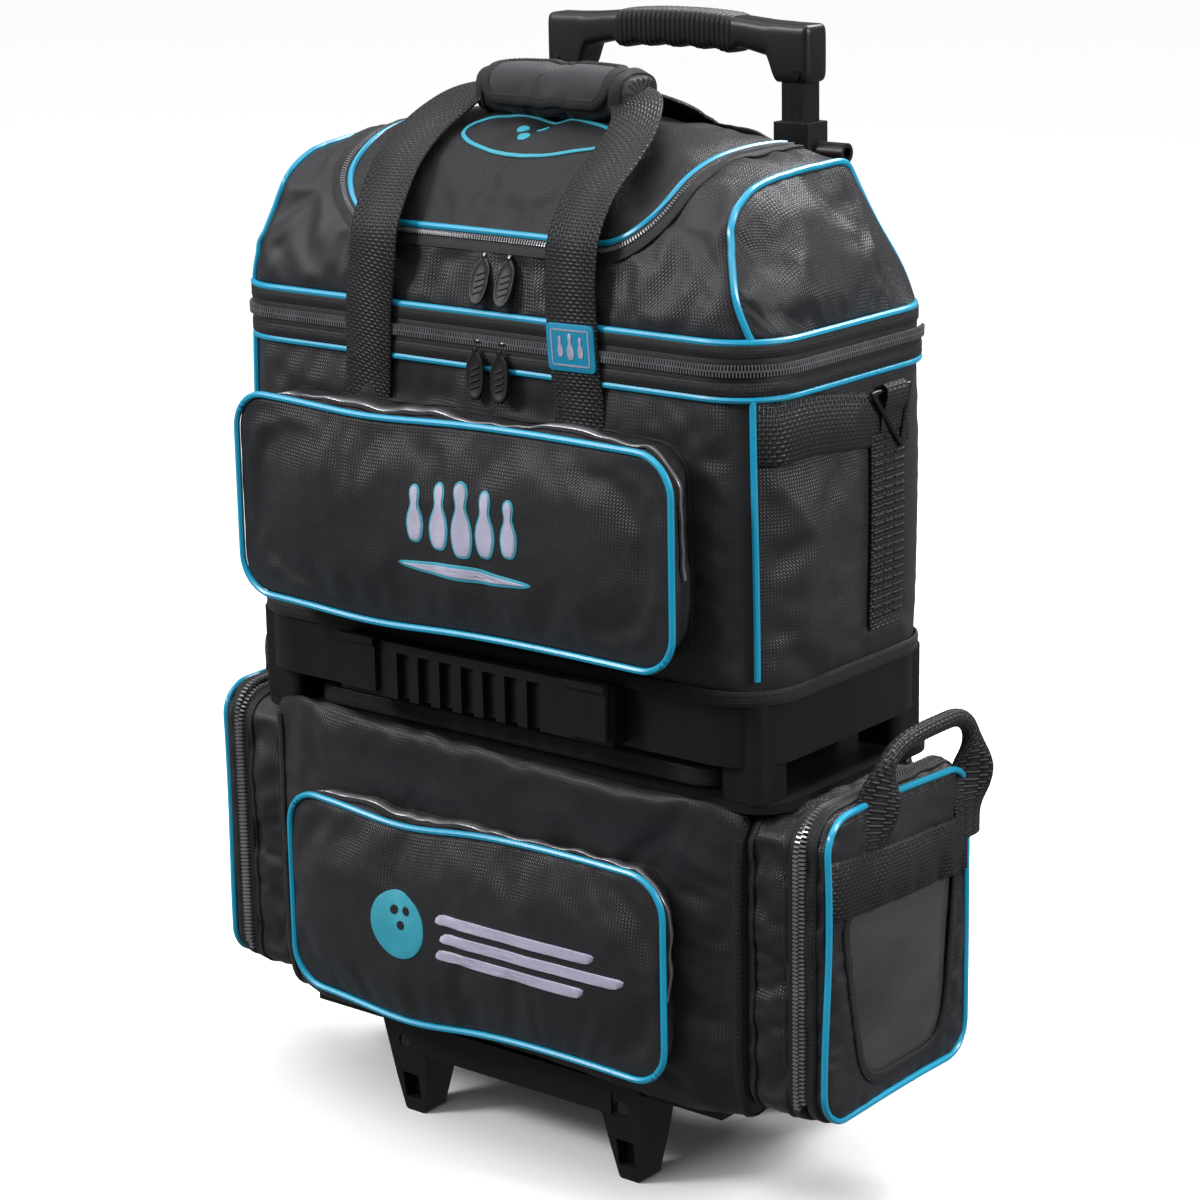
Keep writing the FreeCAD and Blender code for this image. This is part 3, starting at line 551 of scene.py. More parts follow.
def cloth(name, dark, light, pitch, roughness=0.45, sheen=0.03, diagonal=True, depth=0.4 * MM, aspect=1.0,
          strength=0.75, patchy=0.12, rumple=3.5 * MM):
    """Woven cloth: yarns whose crowns are paler than the hollows between them, partly the weave's pattern and
    partly painted sheen on the crowns and painted shade in the hollows, slow colour drift, and dulled, slightly
    paler places where it is handled.
    """
    graph = Graph(name, dark, roughness, Sheen_Weight=sheen, Sheen_Roughness=0.45, Specular_IOR_Level=0.34)
    graph.shader.inputs["Sheen Tint"].default_value = (0.75, 0.78, 0.9, 1)
    height = yarns(graph, pitch, diagonal, aspect)
    drift = graph.noise(9, 4)
    worn = graph.spread(graph.noise(31, 5, 0.65), -patchy, patchy)
    # colour follows the yarn height: the paler crowns are painted sheen and the darker hollows painted shade,
    # over the weave's own pattern
    share = graph.math("ADD", graph.math("MULTIPLY", height, graph.spread(drift, 0.35, 1.0)), worn)
    share = graph.math("MINIMUM", graph.math("MAXIMUM", share, 0.0), 1.0)
    colour = graph.blend(share, dark, light)
    rough = graph.spread(graph.math("MULTIPLY_ADD", height, -0.45, drift), roughness - 0.1, roughness + 0.16)
    return graph.finish(colour, rough, height, depth, strength, rumple)


def twill(name, dark, light, pitch, roughness=0.65):
    """Cloth with diagonal ribs."""
    graph = Graph(name, dark, roughness, Sheen_Weight=0.1, Sheen_Roughness=0.5, Specular_IOR_Level=0.3)
    across, along = graph.weave_map()
    slant = graph.math("ADD", across, graph.math("MULTIPLY", along, 0.8))
    rib = graph.math("ABSOLUTE", graph.math("SINE", graph.math("MULTIPLY", slant, math.pi / pitch)))
    thread = graph.math("ABSOLUTE", graph.math("SINE", graph.math("MULTIPLY", across, 2.2 * math.pi / pitch)))
    height = graph.math("MULTIPLY", rib, graph.math("MULTIPLY_ADD", thread, 0.35, 0.65))
    colour = graph.blend(graph.math("MULTIPLY", height, graph.spread(graph.noise(14), 0.6, 1.1)), dark, light)
    return graph.finish(colour, graph.spread(graph.noise(40), roughness - 0.08, roughness + 0.1), height,
                        0.35 * MM, 0.6)


def ribbed(name, dark, light, pitch, roughness=0.7, sheen=0.06):
    """Narrow binding tape with fine cross ribs."""
    graph = Graph(name, dark, roughness, Sheen_Weight=sheen, Sheen_Roughness=0.5, Specular_IOR_Level=0.35)
    _, along = graph.weave_map()
    rib = graph.math("ABSOLUTE", graph.math("SINE", graph.math("MULTIPLY", along, math.pi / pitch)))
    fuzz = graph.noise(900, 2)
    height = graph.math("MULTIPLY_ADD", fuzz, 0.5, rib)
    colour = graph.blend(graph.math("MULTIPLY", rib, graph.spread(graph.noise(25), 0.3, 1.0)), dark, light)
    return graph.finish(colour, graph.spread(fuzz, roughness - 0.1, roughness + 0.12), height, 0.3 * MM, 0.6)


def moulded(name, dark, light, roughness, grain=700, depth=0.12 * MM, scuffs=0.12, **settings):
    """Moulded or coated surface: fine grain, slow tone drift and rubbed places."""
    graph = Graph(name, dark, roughness, **settings)
    fine, slow = graph.noise(grain, 2), graph.noise(11, 4)
    rubbed = graph.math("POWER", graph.noise(38, 6, 0.7, (1, 1, 0.35)), 3.0)
    colour = graph.blend(graph.math("MULTIPLY_ADD", rubbed, 1.4, graph.spread(slow, 0, 0.5)), dark, light)
    rough = graph.math("ADD", graph.spread(slow, roughness - 0.06, roughness + 0.06),
                       graph.math("MULTIPLY", graph.spread(fine, -0.5, 0.5), scuffs))
    return graph.finish(colour, rough, fine, depth, 0.5)


def metal(name, dark, light, roughness, stretch=(1, 1, 1), metallic=1.0):
    """Plated or anodised metal with fine drawn streaks."""
    graph = Graph(name, dark, roughness, Metallic=metallic)
    streak, slow = graph.noise(420, 3, 0.6, stretch), graph.noise(24, 4)
    colour = graph.blend(graph.math("MULTIPLY", streak, slow), dark, light)
    rough = graph.spread(streak, roughness - 0.08, roughness + 0.12)
    return graph.finish(colour, rough, streak, 0.03 * MM, 0.3)


def satin_stitch(name, dark, light, pitch=0.9 * MM):
    """Embroidery: close parallel threads with a silky shine."""
    graph = Graph(name, light, 0.42, Sheen_Weight=0.1, Sheen_Roughness=0.3)
    across, along = graph.weave_map()
    lean = graph.math("ADD", graph.math("MULTIPLY", across, 0.35), along)
    thread = graph.math("ABSOLUTE", graph.math("SINE", graph.math("MULTIPLY", lean, math.pi / pitch)))
    colour = graph.blend(graph.math("MULTIPLY_ADD", thread, 0.7, graph.spread(graph.noise(160), 0, 0.3)),
                         dark, light)
    return graph.finish(colour, graph.spread(thread, 0.55, 0.38), thread, 0.25 * MM, 0.6)


def clear_sheet(name):
    """Clear flexible vinyl with faint haze and rub marks, tinted dark grey as painted shade of the pocket
    behind it and paler in the hazy patches as painted reflection.
    """
    graph = Graph(name, (0.03, 0.03, 0.034), 0.1, Alpha=0.5, Specular_IOR_Level=0.6)
    haze_and_reflection = graph.noise(16, 5, 0.6, (1, 0.5, 1))
    graph.link(graph.spread(haze_and_reflection, 0.4, 0.7), graph.shader.inputs["Alpha"])
    # painted reflection: the pane's colour goes from dark grey to paler grey where the haze noise is high
    return graph.finish(graph.blend(haze_and_reflection, (0.03, 0.03, 0.034), (0.115, 0.115, 0.127)),
                        graph.spread(haze_and_reflection, 0.06, 0.22), graph.noise(18, 3), 2.5 * MM, 0.5)


# The second colour of each woven cloth goes on its yarn crowns: partly the weave's pattern, partly painted
# sheen.
NYLON = cloth("woven_nylon", (0.0010, 0.0010, 0.0013), (0.036, 0.036, 0.041), 2.5 * MM)
SATIN = cloth("fine_nylon", (0.0012, 0.0012, 0.0015), (0.020, 0.020, 0.023), 2.1 * MM, 0.54)
LINING = cloth("lining", (0.002, 0.002, 0.0025), (0.016, 0.016, 0.018), 1.6 * MM, 0.6)
WEBBING = cloth("webbing", (0.0008, 0.0008, 0.001), (0.034, 0.034, 0.037), 2.7 * MM, 0.5, 0.02, False,
                0.9 * MM, 1.1, 1.0, 0.1, 0.0)
TWILL = twill("grey_twill", (0.006, 0.006, 0.008), (0.052, 0.052, 0.06), 2.0 * MM)
BINDING = ribbed("binding_tape", (0.0015, 0.0015, 0.002), (0.014, 0.014, 0.016), 1.4 * MM)
ZIP_TAPE = ribbed("zip_tape", (0.0015, 0.0015, 0.002), (0.012, 0.012, 0.014), 1.0 * MM, 0.55)
PIPING = moulded("cyan_piping", (0.003, 0.25, 0.43), (0.012, 0.37, 0.58), 0.34, 300, 0.08 * MM, 0.1,
                 Coat_Weight=0.25, Coat_Roughness=0.3)
# The zip teeth are coloured pale grey (0.10 to 0.34) as painted glints, so that they show as light dots where
# no light catches them.
COIL = moulded("zip_coil", (0.10, 0.10, 0.11), (0.34, 0.34, 0.36), 0.28, 900, 0.04 * MM, 0.1, Metallic=0.5)
PLASTIC = moulded("textured_plastic", (0.002, 0.002, 0.0025), (0.011, 0.011, 0.012), 0.48, 900, 0.15 * MM,
                  Specular_IOR_Level=0.28)
GRIP = moulded("satin_plastic", (0.003, 0.003, 0.0035), (0.014, 0.014, 0.015), 0.38, 1200, 0.06 * MM,
               Specular_IOR_Level=0.35)
RUBBER = moulded("soft_rubber", (0.003, 0.003, 0.0035), (0.016, 0.016, 0.018), 0.5, 800, 0.1 * MM,
                 Specular_IOR_Level=0.35)
TUBE = metal("black_anodised_tube", (0.008, 0.008, 0.009), (0.035, 0.035, 0.038), 0.34, (1, 1, 0.03), 0.5)
STEEL = metal("zinc_steel", (0.35, 0.35, 0.36), (0.62, 0.62, 0.64), 0.3)
BLACK_NICKEL = metal("black_nickel", (0.05, 0.05, 0.055), (0.16, 0.16, 0.17), 0.24)
URETHANE = moulded("urethane_tyre", (0.018, 0.018, 0.02), (0.05, 0.05, 0.055), 0.42, 500, 0.08 * MM)
HUB = moulded("hub_plastic", (0.05, 0.05, 0.055), (0.11, 0.11, 0.12), 0.4, 600, 0.1 * MM)
VINYL = clear_sheet("clear_vinyl")
THREAD = ribbed("sewing_thread", (0.012, 0.012, 0.014), (0.07, 0.07, 0.075), 0.7 * MM, 0.5)
PALE = satin_stitch("pale_embroidery", (0.26, 0.25, 0.38), (0.54, 0.52, 0.66))
CYAN = satin_stitch("cyan_embroidery", (0.004, 0.22, 0.32), (0.04, 0.40, 0.52))
PATCH = moulded("blue_rubber", (0.001, 0.19, 0.34), (0.008, 0.28, 0.46), 0.45, 500, 0.08 * MM)
FOAM = moulded("closed_cell_foam", (0.012, 0.012, 0.013), (0.04, 0.04, 0.043), 0.85, 500, 0.35 * MM)

CAD_FINISH = {
    "base_frame": PLASTIC, "wheel_housing": PLASTIC, "tray": PLASTIC, "deck": PLASTIC, "back_board": PLASTIC,
    "collar": GRIP, "latch": PLASTIC, "release_pin": GRIP, "tube": TUBE, "inner_tube": TUBE, "axle": STEEL,
    "bearings": STEEL, "leg_screws": BLACK_NICKEL, "grip_screws": BLACK_NICKEL, "ring": BLACK_NICKEL,
    "tyre": URETHANE, "hub": HUB,
}


def dress_cad_nodes():
    """Give every carried-over CAD node its material."""
    for name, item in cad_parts.items():
        kind = name.removesuffix("_left").removesuffix("_right")
        item.data.materials.clear()
        item.data.materials.append(CAD_FINISH.get(kind, PLASTIC))


# ---------------------------------------------------------------- tote body

TOTE_LOW, TOTE_HIGH = box("tote_shell")
FRONT, REAR, HALF = TOTE_LOW[1], TOTE_HIGH[1], TOTE_HIGH[0]
TRAY_TOP, ZIP_LEVEL = TOTE_LOW[2], TOTE_HIGH[2]
CORNER = 44 * MM                # plan radius of the tote's corners
SEAM_IN = 13 * MM               # the corner seams, halfway round, are this far in from both faces
PIPE = 2.5 * MM                 # radius of the piping cord
LOW_PIPE_LEVEL = ZIP_LEVEL - 20 * MM
LID_LEVEL = ZIP_LEVEL + 19 * MM
POCKET_LOW, POCKET_HIGH = box("upper_pocket")
BELT_LOW, BELT_HIGH = box("side_webbing_right")


def tote_plan(inset=0.0, count=184):
    """The tote's plan loop, drawn in by an inset."""
    return rounded_loop((inset - HALF, FRONT + inset), (HALF - inset, REAR - inset), CORNER - inset, count)


def outward_of(loop, closed=True):
    """Flat outward normals of an anticlockwise plan loop."""
    run = tangents(loop, closed)
    return np.column_stack([run[:, 1], -run[:, 0], np.zeros(len(loop))])


def tote_body():
    """Fabric walls of the tote, a little fuller between their seams."""
    piece = Piece()
    levels = np.linspace(ZIP_LEVEL - 0.5 * MM, TRAY_TOP + 0.5 * MM, 31)
    share = (levels - TRAY_TOP) / (ZIP_LEVEL - TRAY_TOP)
    rings = [at_level(tote_plan(-2.5 * MM * math.sin(math.pi * part)), level)
             for level, part in zip(levels, share)]
    rings += [at_level(tote_plan(inset), levels[-1]) for inset in (6 * MM, 30 * MM, 70 * MM, 110 * MM)]
    piece.grid(np.array(rings), wrap_b=True)
    body = piece.done("tote_body", [NYLON, LINING], "tote", "nylon", levels=1, thick=2.6 * MM)

    def pinned(points):
        x, y, z = np.abs(points[:, 0]), points[:, 1], points[:, 2]
        rim = (z > LOW_PIPE_LEVEL - 7 * MM) | (z < TRAY_TOP + 9 * MM)
        seam = (x > HALF - 24 * MM) & (x < HALF - 4 * MM) & (y < FRONT + 24 * MM)
        behind = (y < FRONT + 6 * MM) & (x < POCKET_HIGH[0] - 14 * MM) & (z < POCKET_HIGH[2] - 8 * MM)
        inner = (x < HALF - 12 * MM) & (y > FRONT + 12 * MM) & (y < REAR - 12 * MM)
        end = x > HALF - 4 * MM
        belt = end & (y > BELT_LOW[1] - 4 * MM) & (y < BELT_HIGH[1] + 4 * MM) & (
            z > BELT_HIGH[2] - 48 * MM) & (z < BELT_HIGH[2] + 6 * MM)
        ladder = end & (y > 0) & (y < BELT_HIGH[1]) & (z > BELT_LOW[2] - 4 * MM) & (z < BELT_HIGH[2])
        back = (y > REAR - 3 * MM) | ((y > REAR - 42 * MM) & (x > HALF - 10 * MM))
        return rim | seam | behind | inner | belt | ladder | back
    puff(body, pinned, grow=0.035, pressure=1.6, cap=7 * MM, bend=0.4, folds=1.8 * MM)
    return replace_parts(body, "tote_shell")


def plan_part(loop, keep):
    """The stretch of a closed loop for which keep is true, in order."""
    chosen = keep(loop)
    start = next(index for index in range(len(loop)) if chosen[index] and not chosen[index - 1])
    rolled, chosen = np.roll(loop, -start, axis=0), np.roll(chosen, -start)
    return rolled[chosen]


def band_around(piece, level, width, thick, out, finish=0, plan=tote_plan):
    """A flat band round the tote at a level."""
    loop = plan(-out)
    piece.sweep(at_level(loop, level), outward_of(loop), strip(width, thick), closed=True, finish=finish)


def sewn_around(piece, level, out, finish, plan=tote_plan):
    """A sewn line round the tote at a level."""
    loop = plan(-out)
    stitches(piece, at_level(loop, level), outward_of(loop), True, finish=finish)


def zip_half(name, body, up, plan, shift):
    """Half of the main zip, above (up is 1) or below (up is -1) its middle: band, tape and teeth."""
    piece = Piece()
    band_around(piece, ZIP_LEVEL + up * 13 * MM, 11 * MM, 3.4 * MM, 1.2 * MM, 0, plan)
    band_around(piece, ZIP_LEVEL + up * 6 * MM, 9 * MM, 1.6 * MM, 2.6 * MM, 1, plan)
    loop = plan_part(tote_plan(-4.2 * MM, 400), lambda points: points[:, 1] < REAR - 20 * MM)
    tooth = (1.4 * MM, 5.2 * MM, 2.4 * MM)
    teeth(piece, at_level(loop, ZIP_LEVEL), outward_of(loop, False), up * 1.7 * MM, 2.3 * MM, tooth, shift, 2)
    for offset in (16, 10):
        sewn_around(piece, ZIP_LEVEL + up * offset * MM, 4.4 * MM, 3, plan)
    piece.done(name, [SATIN, ZIP_TAPE, COIL, THREAD], body, "nylon", sharp=50)


def tote_trim(body):
    """Zip half, piping and seam tape that belong to the tote."""
    zip_half("tote_zip_band", "tote", -1, tote_plan, 0.0)

    piece = Piece()
    loop = tote_plan(-2.6 * MM, 240)
    piece.tube(at_level(loop, LOW_PIPE_LEVEL), PIPE, closed=True)
    skin = Skin(body)
    for _, side in SIDES:
        # the corner piping leans a little outward towards the tray
        level = np.linspace(LOW_PIPE_LEVEL + 7 * MM, TRAY_TOP + 9 * MM, 30)
        lean = ease(LOW_PIPE_LEVEL, TRAY_TOP, level)
        x = side * (HALF - SEAM_IN + 3 * MM * lean)
        start = np.column_stack([x, np.full(30, FRONT + SEAM_IN), level])
        hint = unit(np.array([side, -1.0, 0.0]))
        path, _ = skin.cast(start, -hint, 2.0 * MM)
        piece.tube(smoothed(path, 5), PIPE)
    piece.done("tote_piping", PIPING, "tote", "piping")

    piece = Piece()
    band_around(piece, TRAY_TOP + 3 * MM, 11 * MM, 1.8 * MM, 1.6 * MM, 0)
    for level in (TRAY_TOP + 0.6 * MM, TRAY_TOP + 5.6 * MM):
        sewn_around(piece, level, 3.5 * MM, 1)
    piece.done("tote_seam_tape", [BINDING, THREAD], "tote", "nylon", sharp=50)
    return skin


def foam_bed(node, body):
    """Foam block with a round dip for each ball."""
    low, high = box(node)
    across = np.linspace(low[0] + 2 * MM, high[0] - 2 * MM, 60)
    deep = np.linspace(low[1] + 2 * MM, high[1] - 2 * MM, 30)
    x, y = np.meshgrid(across, deep, indexing="ij")
    pitch, radius = (high[0] - low[0]) / 4, (high[1] - low[1]) / 2
    away = np.hypot(np.abs(x) - pitch, y - (low[1] + high[1]) / 2) / radius
    dip = 1 - ease(0.25, 0.98, away)
    top = high[2] - (high[2] - low[2]) * 0.72 * dip
    middle = (low + high) / 2
    corner = ease(0.78, 1, np.abs(x - middle[0]) / across[-1]) * ease(0.6, 1, np.abs(y - middle[1]) / radius)
    x = x - np.sign(x - middle[0]) * 14 * MM * corner
    y = y - np.sign(y - middle[1]) * 14 * MM * corner
    piece = Piece()
    piece.grid(np.stack([x, y, top], axis=-1))
    edge = [np.stack([a, b, c], axis=-1) for a, b, c in
            ((x[0], y[0], top[0]), (x[:, -1], y[:, -1], top[:, -1]),
              (x[-1, ::-1], y[-1, ::-1], top[-1, ::-1]),
             (x[::-1, 0], y[::-1, 0], top[::-1, 0]))]
    rim = np.vstack([line[:-1] for line in edge])
    floor = rim * (1, 1, 0) + (0, 0, low[2] + 1 * MM)
    centre = np.broadcast_to(floor.mean(axis=0), floor.shape) + (floor - floor.mean(axis=0)) * (0.02, 0.02, 0)
    piece.grid(np.array([rim, floor, centre]), wrap_b=True)
    bed = piece.done(node + "_bed", FOAM, body, "foam", levels=1, merge=0.1 * MM, sharp=60)
    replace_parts(bed, node)


# ---------------------------------------------------------------- zipped front pockets


def round_corners(across, up, half_across, half_up, radius):
    """Bend a square grid so that its outer corners become round."""
    u = np.clip((np.abs(across) - half_across + radius) / radius, 0, None)
    v = np.clip((np.abs(up) - half_up + radius) / radius, 0, None)
    near_u, near_v = np.clip(u, 0, 1), np.clip(v, 0, 1)
    new_u, new_v = u * np.sqrt(1 - near_v**2 / 2), v * np.sqrt(1 - near_u**2 / 2)
    across = np.where(u > 0, np.sign(across) * (half_across - radius + new_u * radius), across)
    up = np.where(v > 0, np.sign(up) * (half_up - radius + new_v * radius), up)
    return across, up


def soft_box(piece, cells, shape):
    """A closed box of cells from -1 to 1, each point moved by shape."""
    for axis in range(3):
        first, second = [other for other in range(3) if other != axis]
        for sign in (-1, 1):
            cube = np.zeros((cells[first] + 1, cells[second] + 1, 3))
            cube[..., axis] = sign
            cube[..., first] = np.linspace(-1, 1, cells[first] + 1)[:, None]
            cube[..., second] = np.linspace(-1, 1, cells[second] + 1)[None, :]
            piece.grid(shape(cube))


def front_pocket(name, node, body, radius, narrow, crown, sag, motif, parent_front):
    """Pocket that stands off the bag's front: piped face, gusset with a covered zip, and a stitched motif.
    narrow is how much its width shrinks towards the bag, crown how far its face bows out, and sag how far the
    outer edge hangs."""
    low, high = box(node)
    middle_z = (low[2] + high[2]) / 2
    half_x, half_z = high[0] - 1 * MM, (high[2] - low[2]) / 2
    face, back = low[1] + 5 * MM, parent_front + 1 * MM

    def waist(depth):
        return 1 - 0.012 * np.sin(math.pi * depth)

    def shape(cube):
        x, z = round_corners(cube[..., 0] * half_x, cube[..., 2] * half_z, half_x, half_z, radius)
        depth = (cube[..., 1] + 1) / 2
        taper = 1 - narrow * ease(0, 1, depth)
        bell = (1 - (x / half_x) ** 4) * (1 - (z / half_z) ** 2)
        y = face + (back - face) * depth - crown * bell * (depth < 1e-6)
        return np.stack([x * taper * waist(depth), y, middle_z + z * waist(depth) + slump(x, depth)], axis=-1)

    def slump(x, depth):
        """The outer edge hangs a little lower left of the middle, and waves."""
        wave = np.sin(x * 19) * 0.3 - np.exp(-((x + 0.35 * half_x) / (0.3 * half_x)) ** 2)
        return sag * wave * (1 - ease(0, 0.8, depth))

    piece = Piece()
    soft_box(piece, (58, 7, 22), shape)
    pocket = piece.done(name, NYLON, body, "nylon", levels=1, sharp=180)

    def pinned(points):
        return (np.abs(points[:, 1] - face) < 0.4 * MM) | (points[:, 1] > back - 1 * MM)
    puff(pocket, pinned, grow=0.025, pressure=2.2, cap=8 * MM, bend=0.5, folds=1.3 * MM)
    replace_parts(pocket, node)
    skin = Skin(pocket)

    def edge_loop(depth, out, count=260):
        """The pocket's outline at a share of its depth."""
        loop = rounded_loop((-half_x, -half_z), (half_x, half_z), radius, count)
        scale = (1 - narrow * ease(0, 1, depth)) * waist(depth)
        run = tangents(loop, True)
        outward = np.column_stack([run[:, 1], np.zeros(count), -run[:, 0]])
        path = np.column_stack([loop[:, 0] * scale, np.full(count, face + (back - face) * depth),
                                middle_z + loop[:, 1] * waist(depth) + slump(loop[:, 0], depth)])
        return path + outward * out, outward

    def laid_loop(depth, lift):
        """The same outline, laid on the finished gusset."""
        path, outward = edge_loop(depth, 6 * MM)
        return skin.lay(path, outward, lift, 3, True)

    piece = Piece()
    path, _ = edge_loop(0.0, 0.6 * MM)
    piece.tube(path - (0, 0.8 * MM, 0), PIPE, closed=True)
    piece.done(name + "_piping", PIPING, body, "piping")

    piece = Piece()
    for depth, width, thick, finish in ((0.42, 13 * MM, 1.3 * MM, 0), (0.42, 5.6 * MM, 2.1 * MM, 1)):
        path, outward = laid_loop(depth, 0.3 * MM)
        keep = path[:, 2] > middle_z - 0.2 * half_z
        start = next(index for index in range(len(path)) if keep[index] and not keep[index - 1])
        path, outward, keep = (np.roll(item, -start, axis=0) for item in (path, outward, keep))
        piece.sweep(path[keep], outward[keep], strip(width, thick), finish=finish)
    for depth in (0.28, 0.57, 0.9):
        path, outward = laid_loop(depth, 1.2 * MM * (depth < 0.8))
        stitches(piece, path, outward, True, finish=2)
    path, outward = laid_loop(0.97, 0.2 * MM)
    piece.sweep(path, outward, strip(6 * MM, 1.8 * MM), closed=True, finish=0)
    piece.done(name + "_zip", [BINDING, COIL, THREAD], body, "nylon", sharp=50)

    motif(name, body, skin, middle_z)


FRONT_PLANE = (np.array([0, -0.2, 0]), np.array([1.0, 0, 0]), np.array([0, 0, 1.0]))


def patch(piece, outline, place, skin, thick, rings=5, finish=0, plane=FRONT_PLANE):
    """A raised embroidered shape: an outline in millimetres, star-shaped about its middle, laid on a face.
    plane is an origin in front of the face and the directions of the outline's two axes."""
    outline = np.asarray(outline, float) * MM + place
    middle = outline.mean(axis=0)
    origin, right, up = plane
    inward = np.cross(up, right)
    levels = [(1.0, 0.05), (0.985, 0.8), (0.93, 1.0)]
    levels += [(share, 1.0) for share in np.linspace(0.75, 0, rings)]
    rows = []
    for share, height in levels:
        ring = middle + (outline - middle) * share
        points = origin + ring[:, :1] * right + ring[:, 1:] * up
        laid, _ = skin.cast(points, inward, 0.0, 0, True)
        rows.append(laid - inward * thick * height)
    rows = np.array(rows)
    count = rows.shape[1]
    faces, weave = [], []
    flat = np.stack([rows @ right, rows @ up], axis=-1)
    for a in range(len(rows) - 1):
        for b in range(count):
            corners = [(a, b), (a + 1, b), (a + 1, (b + 1) % count), (a, (b + 1) % count)]
            faces.append([row * count + column for row, column in corners])
            weave.append([tuple(flat[corner]) for corner in corners])
    piece.add(rows.reshape(-1, 3), faces, weave, finish)


def grown(outline, amount):
    """An outline moved outward by an amount, for the border under a shape."""
    outline = np.asarray(outline, float)
    run = tangents(outline, True)
    return outline + np.column_stack([run[:, 1], -run[:, 0]]) * amount


def pin_outline(height):
    """Silhouette of a bowling pin, anticlockwise, from width along its height."""
    up = np.array([0, 0.04, 0.15, 0.3, 0.45, 0.58, 0.66, 0.74, 0.83, 0.92, 0.98, 1.0])
    wide = np.array([0.08, 0.11, 0.145, 0.165, 0.14, 0.085, 0.062, 0.068, 0.09, 0.085, 0.05, 0.012])
    right = np.column_stack([wide, up - 0.45])
    return spaced(np.vstack([right, right[::-1] * (-1, 1)]), 56, True) * height


def leaf_outline(length, width):
    """A long pointed stroke."""
    along = np.linspace(-1, 1, 24)
    top = np.column_stack([along * length / 2, width / 2 * (1 - np.abs(along) ** 1.6)])
    return spaced(np.vstack([top * (1, -1), top[::-1][1:-1]]), 60, True)


def pins_motif(name, body, skin, middle_z):
    """Five pins over a pointed stroke, pale with a cyan border."""
    piece = Piece()
    centre = np.array([24 * MM, middle_z + 8 * MM])
    for index, height in enumerate((40, 47, 54, 47, 40)):
        spot = centre + np.array([(index - 2) * 22 * MM, 0])
        patch(piece, grown(pin_outline(height), 1.6), spot, skin, 0.7 * MM, finish=1)
        patch(piece, pin_outline(height), spot, skin, 1.3 * MM, finish=0)
    stroke = centre + np.array([0, -37 * MM])
    patch(piece, grown(leaf_outline(128, 9), 1.4), stroke, skin, 0.7 * MM, finish=1)
    patch(piece, leaf_outline(122, 7), stroke, skin, 1.3 * MM, finish=0)
    piece.done(name + "_motif", [PALE, CYAN], body, "thread", merge=1e-7)


def ball_motif(name, body, skin, middle_z):
    """A cyan ball with three finger holes, and pale speed stripes behind it."""
    piece = Piece()
    centre = np.array([-62 * MM, middle_z - 4 * MM])
    patch(piece, circle(40) * 27, centre, skin, 0.8 * MM, finish=1)
    for across, up in ((-3, 12), (9, 13), (4, 1)):
        patch(piece, circle(20) * 3.6, centre + np.array([across, up]) * MM, skin, 1.5 * MM, 3, 2)
    for start, length, rise in ((36, 150, 14), (40, 172, 0), (36, 140, -14)):
        bar = [(0, -4.2), (length, -4.2), (length + 5, 4.2), (5, 4.2)]
        bar = spaced(bar, 60, True) - (length / 2, 0)
        spot = centre + np.array([start + length / 2, rise]) * MM
        patch(piece, bar, spot, skin, 1.2 * MM, finish=0)
    piece.done(name + "_motif", [PALE, CYAN, SATIN], body, "thread", merge=1e-7)


# ---------------------------------------------------------------- lid and flap

FLAP_LOW, FLAP_HIGH = box("top_flap")
LID_LOW, LID_HIGH = box("lid_shell")
DOME = LID_HIGH[2]
PROFILE = 160                    # points along the lid from front to rear


def lid_lines():
    """The lid's middle profile and its right end seam, from front to rear."""
    middle = [(0, FRONT, LID_LEVEL), (0, FRONT + 5 * MM, LID_LEVEL + 27 * MM),
              (0, FRONT + 12 * MM, LID_LEVEL + 54 * MM), (0, FRONT + 27 * MM, LID_LEVEL + 78 * MM),
              (0, FRONT + 50 * MM, LID_LEVEL + 100 * MM), (0, FRONT + 78 * MM, DOME - 8 * MM),
              (0, FRONT + 112 * MM, DOME - 0.5 * MM), (0, FRONT + 147 * MM, DOME - 0.5 * MM),
              (0, REAR - 60 * MM, DOME - 9 * MM), (0, REAR - 50 * MM, DOME - 24 * MM),
              (0, REAR - 33 * MM, LID_LEVEL + 67 * MM), (0, REAR - 15 * MM, LID_LEVEL + 31 * MM),
              (0, REAR - 1 * MM, LID_LEVEL)]
    front = [(13, 13, 0), (27, 15, 38), (36, 20, 68), (40, 34, 88), (42, 64, 99), (42, 127, 103)]
    rear = [(42, 60, 103), (40, 50, 92), (34, 38, 69), (24, 25, 36), (13, 13, 0)]
    end = [(HALF - x * MM, FRONT + y * MM, LID_LEVEL + z * MM) for x, y, z in front]
    end += [(HALF - x * MM, REAR - y * MM, LID_LEVEL + z * MM) for x, y, z in rear]
    return curve(middle, PROFILE), curve(end, PROFILE)


MIDDLE_LINE, END_LINE = lid_lines()
FRONT_SEAM = plan_part(tote_plan(0, 600), lambda points: (points[:, 1] < FRONT + SEAM_IN)
                       & (np.abs(points[:, 0]) < HALF - SEAM_IN))
SIDE_SEAM = plan_part(tote_plan(0, 600), lambda points: points[:, 0] > HALF - SEAM_IN)


